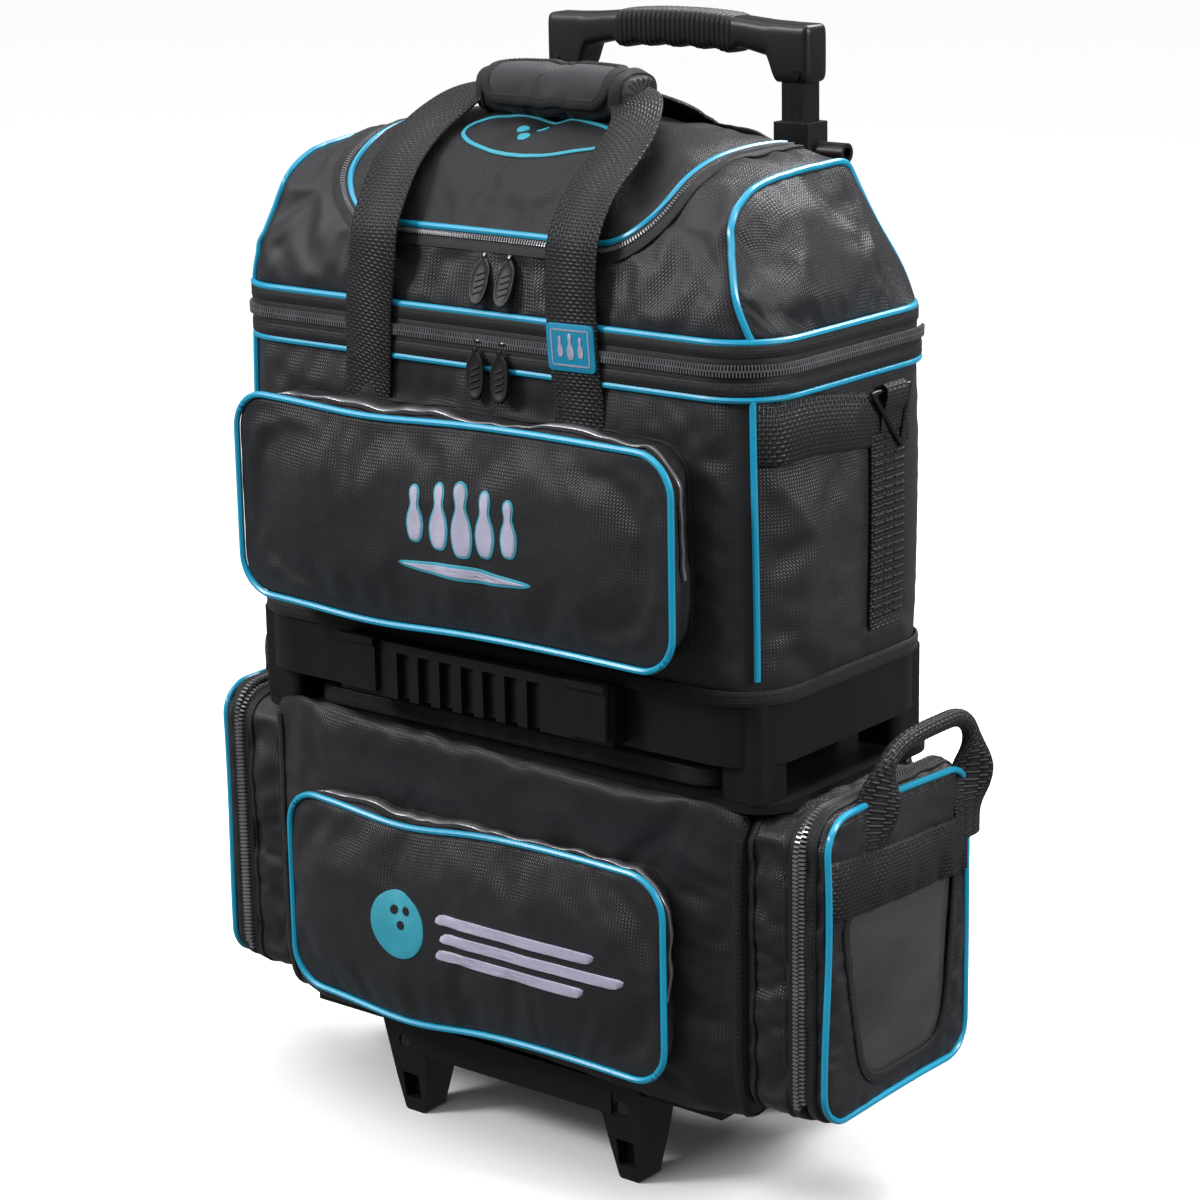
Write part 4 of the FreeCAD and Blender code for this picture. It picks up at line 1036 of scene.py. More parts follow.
def lid_point(across, share):
    """A place on the lid: across is -1 to 1 between the end seams, share 0 at the front to 1 at the rear."""
    across, share = np.broadcast_arrays(np.asarray(across, float), np.asarray(share, float))
    step = share * (PROFILE - 1)
    middle = np.stack([np.interp(step, np.arange(PROFILE), column) for column in MIDDLE_LINE.T], axis=-1)
    end = np.stack([np.interp(step, np.arange(PROFILE), column) for column in END_LINE.T], axis=-1)
    weight = np.abs(across) ** 3
    spot = middle + (end - middle) * weight[..., None]
    spot[..., 0] = across * end[..., 0]
    # near the base the cloth follows the rounded corners of the tote
    seam = FRONT_SEAM[np.argsort(FRONT_SEAM[:, 0])]
    wanted = np.interp(spot[..., 0], seam[:, 0], seam[:, 1])
    base = FRONT + SEAM_IN * weight
    spot[..., 1] += (wanted - base) * (1 - ease(0, 0.2, share)) - (wanted - base) * ease(0.8, 1, share)
    return spot


def lid_share(height=None, deep=None):
    """Share along the middle profile where the front reaches a height, or the top reaches a depth."""
    if height is not None:
        return float(np.interp(height, MIDDLE_LINE[:60, 2], np.arange(60) / (PROFILE - 1)))
    return float(np.interp(deep, MIDDLE_LINE[:, 1], np.arange(PROFILE) / (PROFILE - 1)))


FLAP_FRONT = lid_share(height=FLAP_LOW[2] + 3 * MM)
FLAP_BACK = lid_share(deep=FLAP_HIGH[1])
LID_LENGTH = arc(MIDDLE_LINE)[-1]


def flap_place(p, q, grow=0.0):
    """Across and share on the lid for a flap coordinate: p from -1 to 1, q from 0 at its front to 1 at its
    hinge. grow moves the flap's edge outwards."""
    front = FLAP_FRONT - grow / LID_LENGTH
    run = (FLAP_BACK - front) * LID_LENGTH
    half = (143 + 17 * q) * MM + grow
    x = p * half
    u, v = round_corners(x, (1 - q) * run, half, run, 46 * MM + grow)
    share = front + (1 - v / run) * (FLAP_BACK - front)
    return u / np.interp(share, np.linspace(0, 1, PROFILE), END_LINE[:, 0]), share


def flap_rim(grow, count=190):
    """Line along the flap's edge: hinge left, round the front, hinge right."""
    side = np.linspace(1, 0, 60)
    p = np.concatenate([np.full(60, -1.0), np.linspace(-1, 1, 80)[1:-1], np.full(60, 1.0)])
    q = np.concatenate([side, np.zeros(78), side[::-1]])
    across, share = flap_place(p, q, grow)
    return spaced(lid_point(across, share), count)


def rim_outward(rim):
    """Rough outward directions along the flap's edge."""
    return unit(np.column_stack([rim[:, 0] * 2, (rim[:, 1] + 0.02) * 3, np.full(len(rim), 0.2)]))


def lid_shell():
    """Domed lid with leaning end panels and a U-shaped opening for the flap."""
    piece = Piece()
    across, share = np.linspace(-1, 1, 69), np.linspace(0, 1, 61)
    grid_a, grid_b = np.meshgrid(across, share, indexing="ij")
    points = lid_point(grid_a, grid_b)
    piece.grid(points)
    for side in (-1, 1):
        outline = lid_point(np.full(61, float(side)), share)
        seam = spaced(SIDE_SEAM, 61)
        base = np.column_stack([seam[:, 0] * side, seam[:, 1], np.full(61, LID_LEVEL)])
        depth = np.linspace(0, 1, 17)[:, None, None]
        panel = outline[None] + (base - outline)[None] * depth
        bulge = np.sin(math.pi * depth[..., 0]) * np.sin(math.pi * share)[None]
        panel[..., 0] += side * 5 * MM * bulge
        piece.grid(panel)
    lid = piece.done("lid_dome", [NYLON, LINING], None, None, merge=0.2 * MM)
    cut_flap_hole(lid)
    lined(lid, 2.4 * MM)

    seam_line = lid_point(np.ones(61), share)
    trees = [line_tree(seam_line * flip, HAIR * flip) for flip in np.array([(-1, 1, 1), (1, 1, 1)])]
    hole_tree = line_tree(flap_rim(0, 200), HAIR)

    def pinned(points):
        near = np.array([min(item.find_nearest(Vector(point))[3] for item in trees) for point in points])
        rim = np.array([hole_tree.find_nearest(Vector(point))[3] for point in points])
        return (points[:, 2] < LID_LEVEL + 3 * MM) | (near < 3 * MM) | (rim < 13 * MM) | (
            points[:, 1] > FLAP_HIGH[1] + 8 * MM)
    puff(lid, pinned, grow=0.045, pressure=1.4, cap=8 * MM, bend=0.4, folds=2 * MM)
    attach(lid, "tote_lid")
    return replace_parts(lid, "lid_shell")


def cut_flap_hole(lid):
    """Take away the cloth under the flap and even out the edge that is left."""
    rim = flap_rim(-3 * MM, 200)
    target = line_tree(rim, (0, 0, HAIR))

    def doomed(spot):
        return spot.z > FLAP_LOW[2] - 10 * MM and inside_outline(spot, rim[:, :2])

    def near_edge(spot):
        return spot.z > LID_LEVEL + 20 * MM and spot.y < FLAP_HIGH[1] + 8 * MM

    def snapped(spot):
        place, _, _, distance = target.find_nearest(spot)
        return place if distance < 9 * MM else spot
    cut_hole(lid, doomed, near_edge, snapped)


def lid_plan(inset=0.0, count=184):
    """The tote's plan, drawn in at the rear so that the lid can tip back past the tubes."""
    high = (HALF - inset, REAR - max(inset, 3 * MM))
    return rounded_loop((inset - HALF, FRONT + inset), high, CORNER - inset, count)


def lid_trim(lid):
    """Upper half of the main zip, the piping along the lid's seams, and the flap zip's outer half."""
    zip_half("lid_zip_band", "tote_lid", 1, lid_plan, 0.5)

    skin = Skin(lid)
    piece = Piece()
    piece.tube(at_level(lid_plan(-2.6 * MM, 240), LID_LEVEL), PIPE, closed=True)
    share = np.linspace(0.0, 1.0, 110)
    lift = (1.2 - 3.2 * ease(0.62, 0.8, share)[:, None]) * MM
    for side in (-1, 1):
        line = lid_point(np.full(110, float(side)), share)
        lean = np.column_stack([(share - 0.5) * 1.6, 0.9 * np.sin(math.pi * share)])
        hint = unit(at_side(side * 0.8, lean))
        path, _ = skin.lay(line + hint * 4 * MM, hint, lift)
        piece.tube(path, PIPE)
    piece.done("lid_piping", PIPING, "tote_lid", "piping")

    piece = Piece()
    rim = flap_rim(6.5 * MM)
    hint = rim_outward(rim)
    path, normals = skin.lay(rim + hint * 3 * MM, hint, 0.8 * MM, 6)
    piece.sweep(path, normals, strip(11 * MM, 1.3 * MM, -3.2 * MM), finish=0)
    teeth(piece, path, normals, 0.9 * MM, 2.3 * MM, (1.3 * MM, 3.4 * MM, 2.9 * MM), 0.5, 1)
    stitches(piece, *skin.lay(flap_rim(15 * MM) + hint * 3 * MM, hint, 0.9 * MM, 6), finish=2)
    piece.done("flap_zip_outer", [ZIP_TAPE, COIL, THREAD], "tote_lid", "nylon", sharp=50)


def top_flap():
    """Puffed flap in the lid's front and top, with its piping and zip half."""
    p, q = np.meshgrid(np.linspace(-1, 1, 45), np.linspace(0, 1, 33), indexing="ij")
    across, share = flap_place(p, q, 1.5 * MM)
    points = lid_point(across, share)
    out = unit(np.stack([across * 0.15, -0.9 + 1.5 * share, 0.35 + share], axis=-1))
    bell = (1 - p**4) * np.minimum(1, q * 6) * np.minimum(1, (1 - q) * 4 + 0.3)
    points = points + out * (0.6 * MM + 4.5 * MM * bell)[..., None]
    piece = Piece()
    piece.grid(points)
    flap = piece.done("flap_panel", [SATIN, LINING], None, None, merge=0.05 * MM)
    lined(flap, 2.4 * MM)
    edge = {tuple(np.round(point, 5)) for line in (points[0], points[-1], points[:, 0], points[:, -1])
            for point in line}

    def pinned(places):
        return np.array([tuple(np.round(place, 5)) in edge for place in places])
    puff(flap, pinned, grow=0.02, pressure=1.6, cap=6 * MM, bend=0.8)
    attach(flap, "top_flap")
    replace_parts(flap, "top_flap")

    rim = flap_rim(0.0)
    hint = rim_outward(rim)
    piece = Piece()
    path = smoothed(rim + hint * 2.2 * MM, 2)
    piece.tube(path, PIPE)
    piece.done("flap_piping", PIPING, "top_flap", "piping")

    piece = Piece()
    path = smoothed(flap_rim(4.5 * MM) + hint * 1.6 * MM, 3)
    piece.sweep(path, hint, strip(5 * MM, 1.2 * MM), finish=0)
    teeth(piece, path, unit(smoothed(hint, 6)), -0.2 * MM, 2.3 * MM, (1.3 * MM, 3.4 * MM, 2.4 * MM), 0.0, 1)
    piece.done("flap_zip_inner", [ZIP_TAPE, COIL], "top_flap", "nylon", sharp=50)
    return Skin(flap)


# ---------------------------------------------------------------- straps and webbing


def ribbon(piece, path, normals, widths, thick=2.4 * MM, finish=0):
    """Flat webbing along a path, with a width at each point."""
    widths = np.broadcast_to(np.asarray(widths, float), (len(path),))
    section = np.array([strip(width, thick) for width in widths])
    piece.sweep(path, normals, section, finish=finish)


def edge_stitches(piece, path, normals, half, lift=2.4 * MM, finish=1):
    """Two sewn lines near the edges of a ribbon."""
    across = unit(np.cross(normals, tangents(path)))
    for side in (-1, 1):
        line = path + across * side * (half - 4 * MM) + normals * lift
        stitches(piece, line, normals, pitch=4.2 * MM, finish=finish)


def front_strap_line(side):
    """Carry strap from its root on the tote, up over the lid's front and round into the wrap."""
    lean = 15 if side < 0 else 3
    line = [(92 + lean, -129.6, 572), (92 + 0.85 * lean, -129.8, 600), (92 + 0.6 * lean, -132.6, 622),
            (92 + 0.4 * lean, -134.6, 650), (92, -134.8, 688), (92, -130.5, 714), (93, -110, 744),
            (94, -84, 766), (91, -62, 781), (81, -42, 793), (64, -29, 799), (44, -24, 801), (10, -23, 801)]
    path = curve(np.array(line) * MM * (side, 1, 1), 150)
    height = path[:, 2:]
    over = ease(700 * MM, 752 * MM, height)
    top = ease(786 * MM, 806 * MM, height)
    normals = (1 - over) * (0, -1, 0) + over * ((1 - top) * (0, -0.62, 0.78) + top * (0, -0.05, 1))
    wave = np.sin(path[:, 2] * 95 + side) * 0.9 * MM * ease(0.66, 0.7, path[:, 2])
    return path + normals * wave[:, None], unit(smoothed(normals, 10))


def front_straps():
    """The two carry straps, sewn down at their roots, and the patch on the right one."""
    straps = []
    for word, side in SIDES:
        path, normals = front_strap_line(side)
        widths = 44 * MM - 7 * MM * ease(770 * MM, 803 * MM, path[:, 2])
        piece = Piece()
        ribbon(piece, path, normals, widths)
        low = path[:, 2] < 612 * MM
        edge_stitches(piece, path[low], normals[low], 22 * MM)
        for level in (578, 584, 590, 596, 602, 608):
            spot = int(np.argmin(np.abs(path[:60, 2] - level * MM)))
            line = path[spot] + np.linspace(-18, 18, 12)[:, None] * MM * (1, 0, 0) + normals[spot] * 2.4 * MM
            stitches(piece, line, np.tile(normals[spot], (12, 1)), pitch=3.4 * MM, finish=1)
        strap = piece.done("front_strap_" + word, [WEBBING, THREAD], None, "webbing", sharp=50)
        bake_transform(strap)
        straps.append(strap)
        if side > 0:
            strap_patch(path, normals)
    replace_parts(straps[0], "front_strap_roots")
    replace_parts(straps[1], "front_straps")


def strap_patch(path, normals):
    """Moulded rubber patch sewn on the right strap: a pale frame line round three small pins."""
    piece = Piece()
    spot = int(np.argmin(np.abs(path[:80, 2] - 638 * MM)))
    middle, out = path[spot] + normals[spot] * 2.3 * MM, normals[spot]
    up = unit(tangents(path)[spot])
    right = np.cross(up, out)

    def plate(half_x, half_z, radius, low, high, finish, place=(0, 0)):
        outline = rounded_loop((-half_x * MM, -half_z * MM), (half_x * MM, half_z * MM), radius * MM, 48)
        solid(piece, outline + np.array(place) * MM, middle, right, up, out, low * MM, high * MM, finish)
    plate(21, 17, 3.5, 0, 1.7, 0)
    for half_x, half_z, place in ((16.5, 0.55, (0, 12.6)), (16.5, 0.55, (0, -12.6)),
                                  (0.55, 12.6, (16.5, 0)), (0.55, 12.6, (-16.5, 0))):
        plate(half_x, half_z, 0.4, 1.6, 2.1, 1, place)
    for offset, height in ((-9, 15), (0, 19), (9, 15)):
        pin = pin_outline(height) * MM + (offset * MM, 0)
        solid(piece, pin, middle, right, up, out, 1.6 * MM, 2.2 * MM, 1)
    made = piece.done("strap_patch", [PATCH, PALE], None, "patch", sharp=40)
    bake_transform(made)


def solid(piece, outline, middle, right, up, out, low, high, finish=0):
    """A flat plate from a plan outline, with eased top edge, standing on a face."""
    centre = outline.mean(axis=0)
    rows = []
    for share, height in ((1, low), (1, high - 0.2 * MM), (0.97, high), (0.5, high), (0, high)):
        ring = centre + (outline - centre) * share
        rows.append(middle + ring[:, :1] * right + ring[:, 1:] * up + out * height)
    piece.grid(np.array(rows), wrap_b=True, finish=finish)


def handle_wrap():
    """Padded sleeve round both straps: a twill panel, bound at its ends and along its top edges."""
    low, high = box("handle_wrap")
    middle = (low + high) / 2 - (0, 0, 7 * MM)
    half = (high - low) / 2 - (0, 0, 1 * MM)
    x = np.linspace(-half[0] + 1 * MM, half[0] - 1 * MM, 45)
    rows = []
    for place in x:
        share = abs(place) / half[0]
        swell = 1 + 0.05 * (1 - share**2) - 0.16 * share**8
        ring = oval(half[1] * 0.97 * swell, half[2] * 0.92 * swell, 40, 2.8)
        rows.append(at_side(place, middle[1:] + ring))
    piece = Piece()
    piece.grid(np.array(rows), wrap_b=True)
    for row, sign in ((rows[0], -1), (rows[-1], 1)):
        rings = [row * (1, share, share) + row.mean(axis=0) * (0, 1 - share, 1 - share)
                 + (shift * sign * MM, 0, 0) for share, shift in ((1, 0), (0.92, 1.5), (0.3, 2), (0, 2))]
        piece.grid(np.array(rings), wrap_b=True)
    wrap = piece.done("handle_wrap_pad", SATIN, "front_handle", "twill", levels=1, merge=0.05 * MM)
    puff(wrap, lambda points: np.abs(points[:, 0]) > half[0] - 8 * MM, 0.02, 1.5, 3 * MM, folds=0.6 * MM)
    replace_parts(wrap, "handle_wrap")
    skin = Skin(wrap)
    right, up = np.array([1.0, 0, 0]), unit(np.array([0, 0.72, 0.69]))
    plane = (middle + np.cross(right, up) * 0.1, right, up)
    panel = rounded_loop((-56 * MM, -21 * MM), (56 * MM, 17 * MM), 12 * MM, 100)
    piece = Piece()
    patch(piece, panel / MM, (0, 0), skin, 1.6 * MM, plane=plane)
    spots = plane[0] + panel[:, :1] * right + panel[:, 1:] * up
    path, normals = skin.cast(spots, np.cross(up, right), 0.2 * MM, 4, True)
    piece.sweep(path, normals, strip(8 * MM, 2.5 * MM), closed=True, finish=1)
    across = unit(np.cross(normals, tangents(path, True)))
    stitches(piece, path + across * 2.6 * MM + normals * 2.4 * MM, normals, True, finish=2)
    piece.done("handle_wrap_panel", [TWILL, BINDING, THREAD], "front_handle", "twill", sharp=50)
    piece = Piece()
    hint = at_side(0.0, circle(80))
    for side in (-1, 1):
        ring = at_side(side * (half[0] - 3.5 * MM), middle[1:] + circle(80) * half[1:])
        path, normals = skin.lay(ring + hint * 9 * MM, hint, 0.1 * MM, 3, True)
        piece.sweep(path, normals, strip(8 * MM, 1.9 * MM), closed=True, finish=0)
        stitches(piece, path - (side * 2.6 * MM, 0, 0) + normals * 1.9 * MM, normals, True, finish=1)
    piece.done("handle_wrap_binding", [BINDING, THREAD], "front_handle", "nylon", sharp=50)


def back_straps():
    """Rear carry straps: up the tote's back, over the lid's back, and on to the flap."""
    whole = []
    for word, side in SIDES:
        line = [(71, 98.6, 540), (71, 98.6, 600), (71, 98.8, 636), (71, 98.5, 653), (71, 84, 686),
                (71, 67, 721),
                (71, 50.5, 754), (71, 41, 769), (71, 34, 776.5)]
        path = curve(np.array(line) * MM * (side, 1, 1), 110)
        run = tangents(path)
        normals = np.column_stack([np.zeros(110), run[:, 2], -run[:, 1]])
        piece = Piece()
        ribbon(piece, path, normals, 42 * MM, 2.3 * MM)
        low = path[:, 2] < 590 * MM
        edge_stitches(piece, path[low], normals[low], 21 * MM, 2.3 * MM)
        lower = piece.done("back_strap_low_" + word, [WEBBING, THREAD], None, "webbing", sharp=50)
        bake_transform(lower)
        line = [(71, 40, 773.5), (71, 32, 778), (71, 24, 781.5), (70, 16, 787), (66, 10, 790.5),
                (56, 6.5, 792),
                (40, 6, 792), (10, 6, 792), (-3, 6, 792)]
        path = curve(np.array(line) * MM * (side, 1, 1), 90)
        share = ease(0.04, 0.075, np.abs(path[:, :1]) * (path[:, 2:] > 0.789) + 0.08 * (path[:, 2:] <= 0.789))
        normals = unit(smoothed(share * (0, 0.35, 0.94) + (1 - share) * (0, 0.75, 0.66), 8))
        widths = 24 * MM + 18 * MM * ease(0.045, 0.071, np.abs(path[:, 0]))
        piece = Piece()
        ribbon(piece, path, normals, widths, 2.3 * MM)
        upper = piece.done("back_strap_top_" + word, [WEBBING], None, "webbing", sharp=50)
        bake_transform(upper)
        whole.append((lower, upper))
    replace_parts(whole[0][0], "back_strap_roots")
    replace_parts(whole[1][0], "back_strap_middle")
    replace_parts(whole[0][1], "back_strap_top")


def side_webbing(skin):
    """Belt across each end of the tote, a ribbed strip down from it, and a tab round the ring."""
    for word, side in SIDES:
        piece = Piece()
        out = np.array([side, 0.0, 0.0])

        def laid(points, lift):
            path = np.array(points) * MM
            return skin.lay(path * (side, 1, 1) + out * 12 * MM, out, lift * MM, 5)
        plan = spaced(plan_part(tote_plan(0, 800), lambda points: (points[:, 0] > HALF - 12 * MM)
                                & (points[:, 1] < 54 * MM)), 70)
        run = tangents(plan)
        hint = np.column_stack([run[:, 1] * side, -run[:, 0], np.zeros(70)])
        fall = ease(-84 * MM, 54 * MM, plan[:, 1])
        start = np.column_stack([plan[:, 0] * side, plan[:, 1], (590 - 13 * fall) * MM])
        path, normals = skin.lay(start + hint * 8 * MM, hint, 0.3 * MM, 5)
        widths = (43 - 6 * fall) * MM
        ribbon(piece, path, normals, widths, 2.4 * MM)
        edge_stitches(piece, path, normals, 19.5 * MM)
        z = np.linspace(570, 428, 70)
        path, normals = laid(np.column_stack([np.full(70, 246.0), np.full(70, 25.0), z]), 1.6)
        ribbon(piece, path, normals, 42 * MM, 1.8 * MM)
        across = unit(np.cross(normals, tangents(path)))
        for spot in range(2, 68, 3):
            for start, end in ((-19, -7), (-5, 5), (7, 19)):
                line = path[spot] + across[spot] * np.linspace(start, end, 6)[:, None] * MM
                line += normals[spot] * 1.4 * MM
                piece.sweep(line, np.tile(normals[spot], (6, 1)), oval(1.5 * MM, 1.2 * MM, 8))
        # the tab folds over the ring's upper bar
        loop = [(246.5, 574), (247, 590), (248.6, 600), (251.5, 604.4), (255, 602.6), (256, 598),
                (254.6, 590), (251.5, 582), (250.2, 570)]
        loop = curve(np.array(loop) * MM, 50)
        path = np.column_stack([loop[:, 0] * side, np.full(50, 27.5 * MM), loop[:, 1]])
        run = tangents(path)
        normals = np.column_stack([run[:, 2], np.zeros(50), -run[:, 0]])
        piece.sweep(path, normals, strip(26 * MM, 1.3 * MM, 0, -0.65 * MM))
        webbing = piece.done("side_belt_" + word, [WEBBING, THREAD], "tote", "webbing", sharp=50)
        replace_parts(webbing, "side_webbing_" + word)


def flap_motif(skin):
    """Stitched ring with three finger holes, in front of the wrap."""
    piece = Piece()
    origin, right = np.array([0.004, -0.074, 0.80]), np.array([1.0, 0, 0])
    up = unit(np.array([0, 0.90, 0.44]))
    plane = (origin, right, up)
    ring = circle(120) * (68, 25) * MM
    spots = origin + ring[:, :1] * right + ring[:, 1:] * up
    path, normals = skin.cast(spots, np.cross(up, right), 0.1 * MM, 3, True)
    piece.sweep(path, normals, strip(3.2 * MM, 1.0 * MM), closed=True, finish=1)
    for across, rise in ((-15, 3), (1, 6), (-6, -8)):
        patch(piece, circle(28) * (5.4, 4.6), np.array([across, rise]) * MM, skin, 0.9 * MM, 3, 1, plane)
    piece.done("flap_motif", [PALE, CYAN], "top_flap", "thread", merge=1e-7)


# ---------------------------------------------------------------- lower bag

SHELL_LOW, SHELL_HIGH = box("lower_shell")
DOOR_EDGE = 25 * MM


def lower_profile(share):
    """The lower bag's section at a share of its width from left to right, as (y, z): from inside the front's
    top edge, down the front, under the bag, over the wheels and up the rear."""
    ridge = 336 - 10 * share
    sag = 2.5 * math.sin(math.pi * share * 3) + 3
    arch = [(111 - 75 * math.cos(math.radians(turn)), 63.5 + 75 * math.sin(math.radians(turn)))
            for turn in (20, 35, 50, 65, 80)]
    line = [(-120.8, 306), (-120.8, 320), (-122.5, ridge - 6), (-126, ridge), (-130.5, ridge - 4),
            (-132, 318), (-131, 300), (-131.5, 262), (-132.5, 215), (-132, 165), (-130 - sag / 3, 125),
            (-127, 100),
            (-120, 88 - sag), (-108, 85 - sag / 2), (-90, 87.6), (-20, 87.6), (30, 87.6)]
    line += arch + [(100, 146), (100.5, 200), (100.5, 260), (100, 300), (98.5, 313), (96.5, 316)]
    return curve(np.array(line) * MM, 120)


def ends_in(profile, edge):
    """Draw the front of the section in towards the end pockets' size."""
    drawn = profile.copy()
    front = 1 - ease(-0.1, 0.0, profile[:, 0])
    drawn[:, 0] *= 1 - 0.09 * edge * front
    drawn[:, 1] = 0.2 + (profile[:, 1] - 0.2) * (1 - 0.06 * edge * (profile[:, 1] > 0.2))
    return drawn


def lower_shell():
    """Soft body of the lower bag with a rolled front edge, and its seam tapes at both ends."""
    half = SHELL_HIGH[0] - 0.5 * MM
    rows = []
    for share in np.linspace(0, 1, 63):
        profile = lower_profile(share)
        x = -half + 2 * half * share
        profile = ends_in(profile, ease(half - 42 * MM, half, abs(x)))
        rows.append(at_side(x, profile))
    rows = np.array(rows)
    piece = Piece()
    piece.grid(rows)
    for row in (rows[0], rows[-1]):
        middle = row.mean(axis=0)
        piece.grid(np.array([middle + (row - middle) * share for share in (1, 0.94, 0.6, 0)]))
    body = piece.done("lower_body", [NYLON, LINING], "trolley", "nylon", levels=1, thick=2.4 * MM, sharp=60)
    pocket_low, pocket_high = box("lower_pocket")

    def pinned(points):
        x, y, z = np.abs(points[:, 0]), points[:, 1], points[:, 2]
        behind = (y < -0.12) & (x < pocket_high[0] - 16 * MM) & (z < pocket_high[2] - 10 * MM) & (
            z > pocket_low[2] + 8 * MM)
        return (x > half - 4 * MM) | behind | ((z < 0.094) & (y > -0.113)) | (y > -0.116) & (z < 0.15) | (
            (y > -0.1215) & (y < -0.1)) | (z > 0.312) & (y > 0)
    puff(body, pinned, grow=0.035, pressure=1.3, cap=5 * MM, bend=0.4, folds=1.8 * MM)
    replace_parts(body, "lower_shell")
    skin = Skin(body)
    piece = Piece()
    for side in (-1, 1):
        profile = ends_in(lower_profile(0.5 + side * 0.5), 1.0)
        path = at_side(side * (half - 3 * MM), profile[8:-2])
        run = tangents(path)
        hint = np.column_stack([np.zeros(len(path)), -run[:, 2], run[:, 1]])
        # outward is away from the middle of the bag
        away = path - (0, 0, 0.2)
        hint = hint * np.sign((hint * away * (0, 1, 1)).sum(1))[:, None]
        path, normals = skin.lay(path + hint * 4 * MM, hint, 0.1 * MM, 3)
        piece.sweep(path, normals, strip(7 * MM, 1.6 * MM), finish=0)
        stitches(piece, path + normals * 1.6 * MM, normals, finish=1)
    piece.done("lower_seam_tape", [BINDING, THREAD], "trolley", "nylon", sharp=50)


def end_outline(inset=0.0, count=150):
    """Outline of the end pockets and their doors, as (y, z)."""
    low, high = box("end_pocket_right")
    return rounded_loop(low[1:] + inset, high[1:] - inset, DOOR_EDGE - inset, count)


def outline_hint(outline):
    """Outward directions along such an outline."""
    run = tangents(outline, True)
    return np.column_stack([np.zeros(len(outline)), run[:, 1], -run[:, 0]])


def band_on(piece, skin, ring, hint, width, thick, lift, rounds, finish):
    """A band sewn round a pocket or a door, laid on its skin."""
    path, normals = skin.lay(ring + hint * 4 * MM, hint, lift, rounds, True)
    piece.sweep(path, normals, strip(width, thick), closed=True, finish=finish)
    return path, normals


def end_zip(piece, place, outline, hint, out, low, shift):
    """Teeth of a door's zip round both sides and the top."""
    line = at_side(place, outline) + hint * out
    keep = line[:, 2] > low[2] + 14 * MM
    teeth(piece, line[keep], hint[keep], 0, 3.1 * MM, (1.9 * MM, 5.4 * MM, 3.4 * MM), shift, 2)


def end_pocket(side, word):
    """Soft pocket at one end of the lower bag, open outwards, with its half of the door's zip."""
    low, high = box("end_pocket_right")
    x = np.linspace(high[0] - 1 * MM, low[0] + 1 * MM, 12)
    rings = [(place, -1.6 * MM * math.sin(math.pi * (place - low[0]) / (high[0] - low[0]))) for place in x]
    rings += [(x[-1], inset * MM) for inset in (5, 24, 60, 88)]
    rows = [at_side(place * side, end_outline(inset)) for place, inset in rings]
    piece = Piece()
    piece.grid(np.array(rows), wrap_b=True)
    pocket = piece.done("end_box_" + word, [NYLON, LINING], "trolley", "nylon", levels=1, thick=2.2 * MM,
                        sharp=60)

    def pinned(points):
        x = np.abs(points[:, 0])
        inner = ((points[:, 1:] > low[1:] + 10 * MM) & (points[:, 1:] < high[1:] - 10 * MM)).all(axis=1)
        return (x > high[0] - 12 * MM) | (x < low[0] + 3 * MM) | inner
    puff(pocket, pinned, grow=0.05, pressure=1.6, cap=5 * MM, bend=0.4, folds=1.3 * MM)
    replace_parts(pocket, "end_pocket_" + word)
    skin = Skin(pocket)
    piece = Piece()
    outline = end_outline(0, 400)
    hint = outline_hint(outline)
    ring = at_side(side * (low[0] + 2 * MM), outline)
    band_on(piece, skin, ring, hint, 7 * MM, 1.8 * MM, 0.1 * MM, 3, 0)
    for shift, width, thick in ((11, 5, 1.4), (5.5, 9, 1.9)):
        ring = at_side(side * (high[0] - shift * MM), outline)
        band_on(piece, skin, ring, hint, width * MM, thick * MM, 0.2 * MM, 4, 1)
    end_zip(piece, side * (high[0] - 2.4 * MM), outline, hint, 2.2 * MM, low, 0.0)
    ring = at_side(side * (high[0] - 13.8 * MM), outline)
    path, normals = skin.lay(ring + hint * 4 * MM, hint, 0.2 * MM, 4, True)
    stitches(piece, path, normals, True, finish=3)
    piece.done("end_box_zip_" + word, [BINDING, ZIP_TAPE, COIL, THREAD], "trolley", "nylon", sharp=50)


def window_outline(count=90, grow=0.0):
    """Window in the door, as (y, z): wider at its top, with large round lower corners."""
    corners = [(-17, 113), (-34, 113), (-52, 116), (-64, 128), (-70, 148), (-78, 190), (-84, 226), (-84, 238),
               (-78, 243), (-40, 243), (-10, 243), (30, 243), (46, 242), (50, 236), (49, 220), (44, 180),
               (40, 146), (35, 128), (24, 116), (4, 113)]
    loop = curve(np.array(corners) * MM, count, closed=True)
    run = tangents(loop, True)
    outward = np.column_stack([run[:, 1], -run[:, 0]])
    outward = outward * np.sign((outward * (loop - loop.mean(axis=0))).sum(1).mean())
    return loop + outward * grow


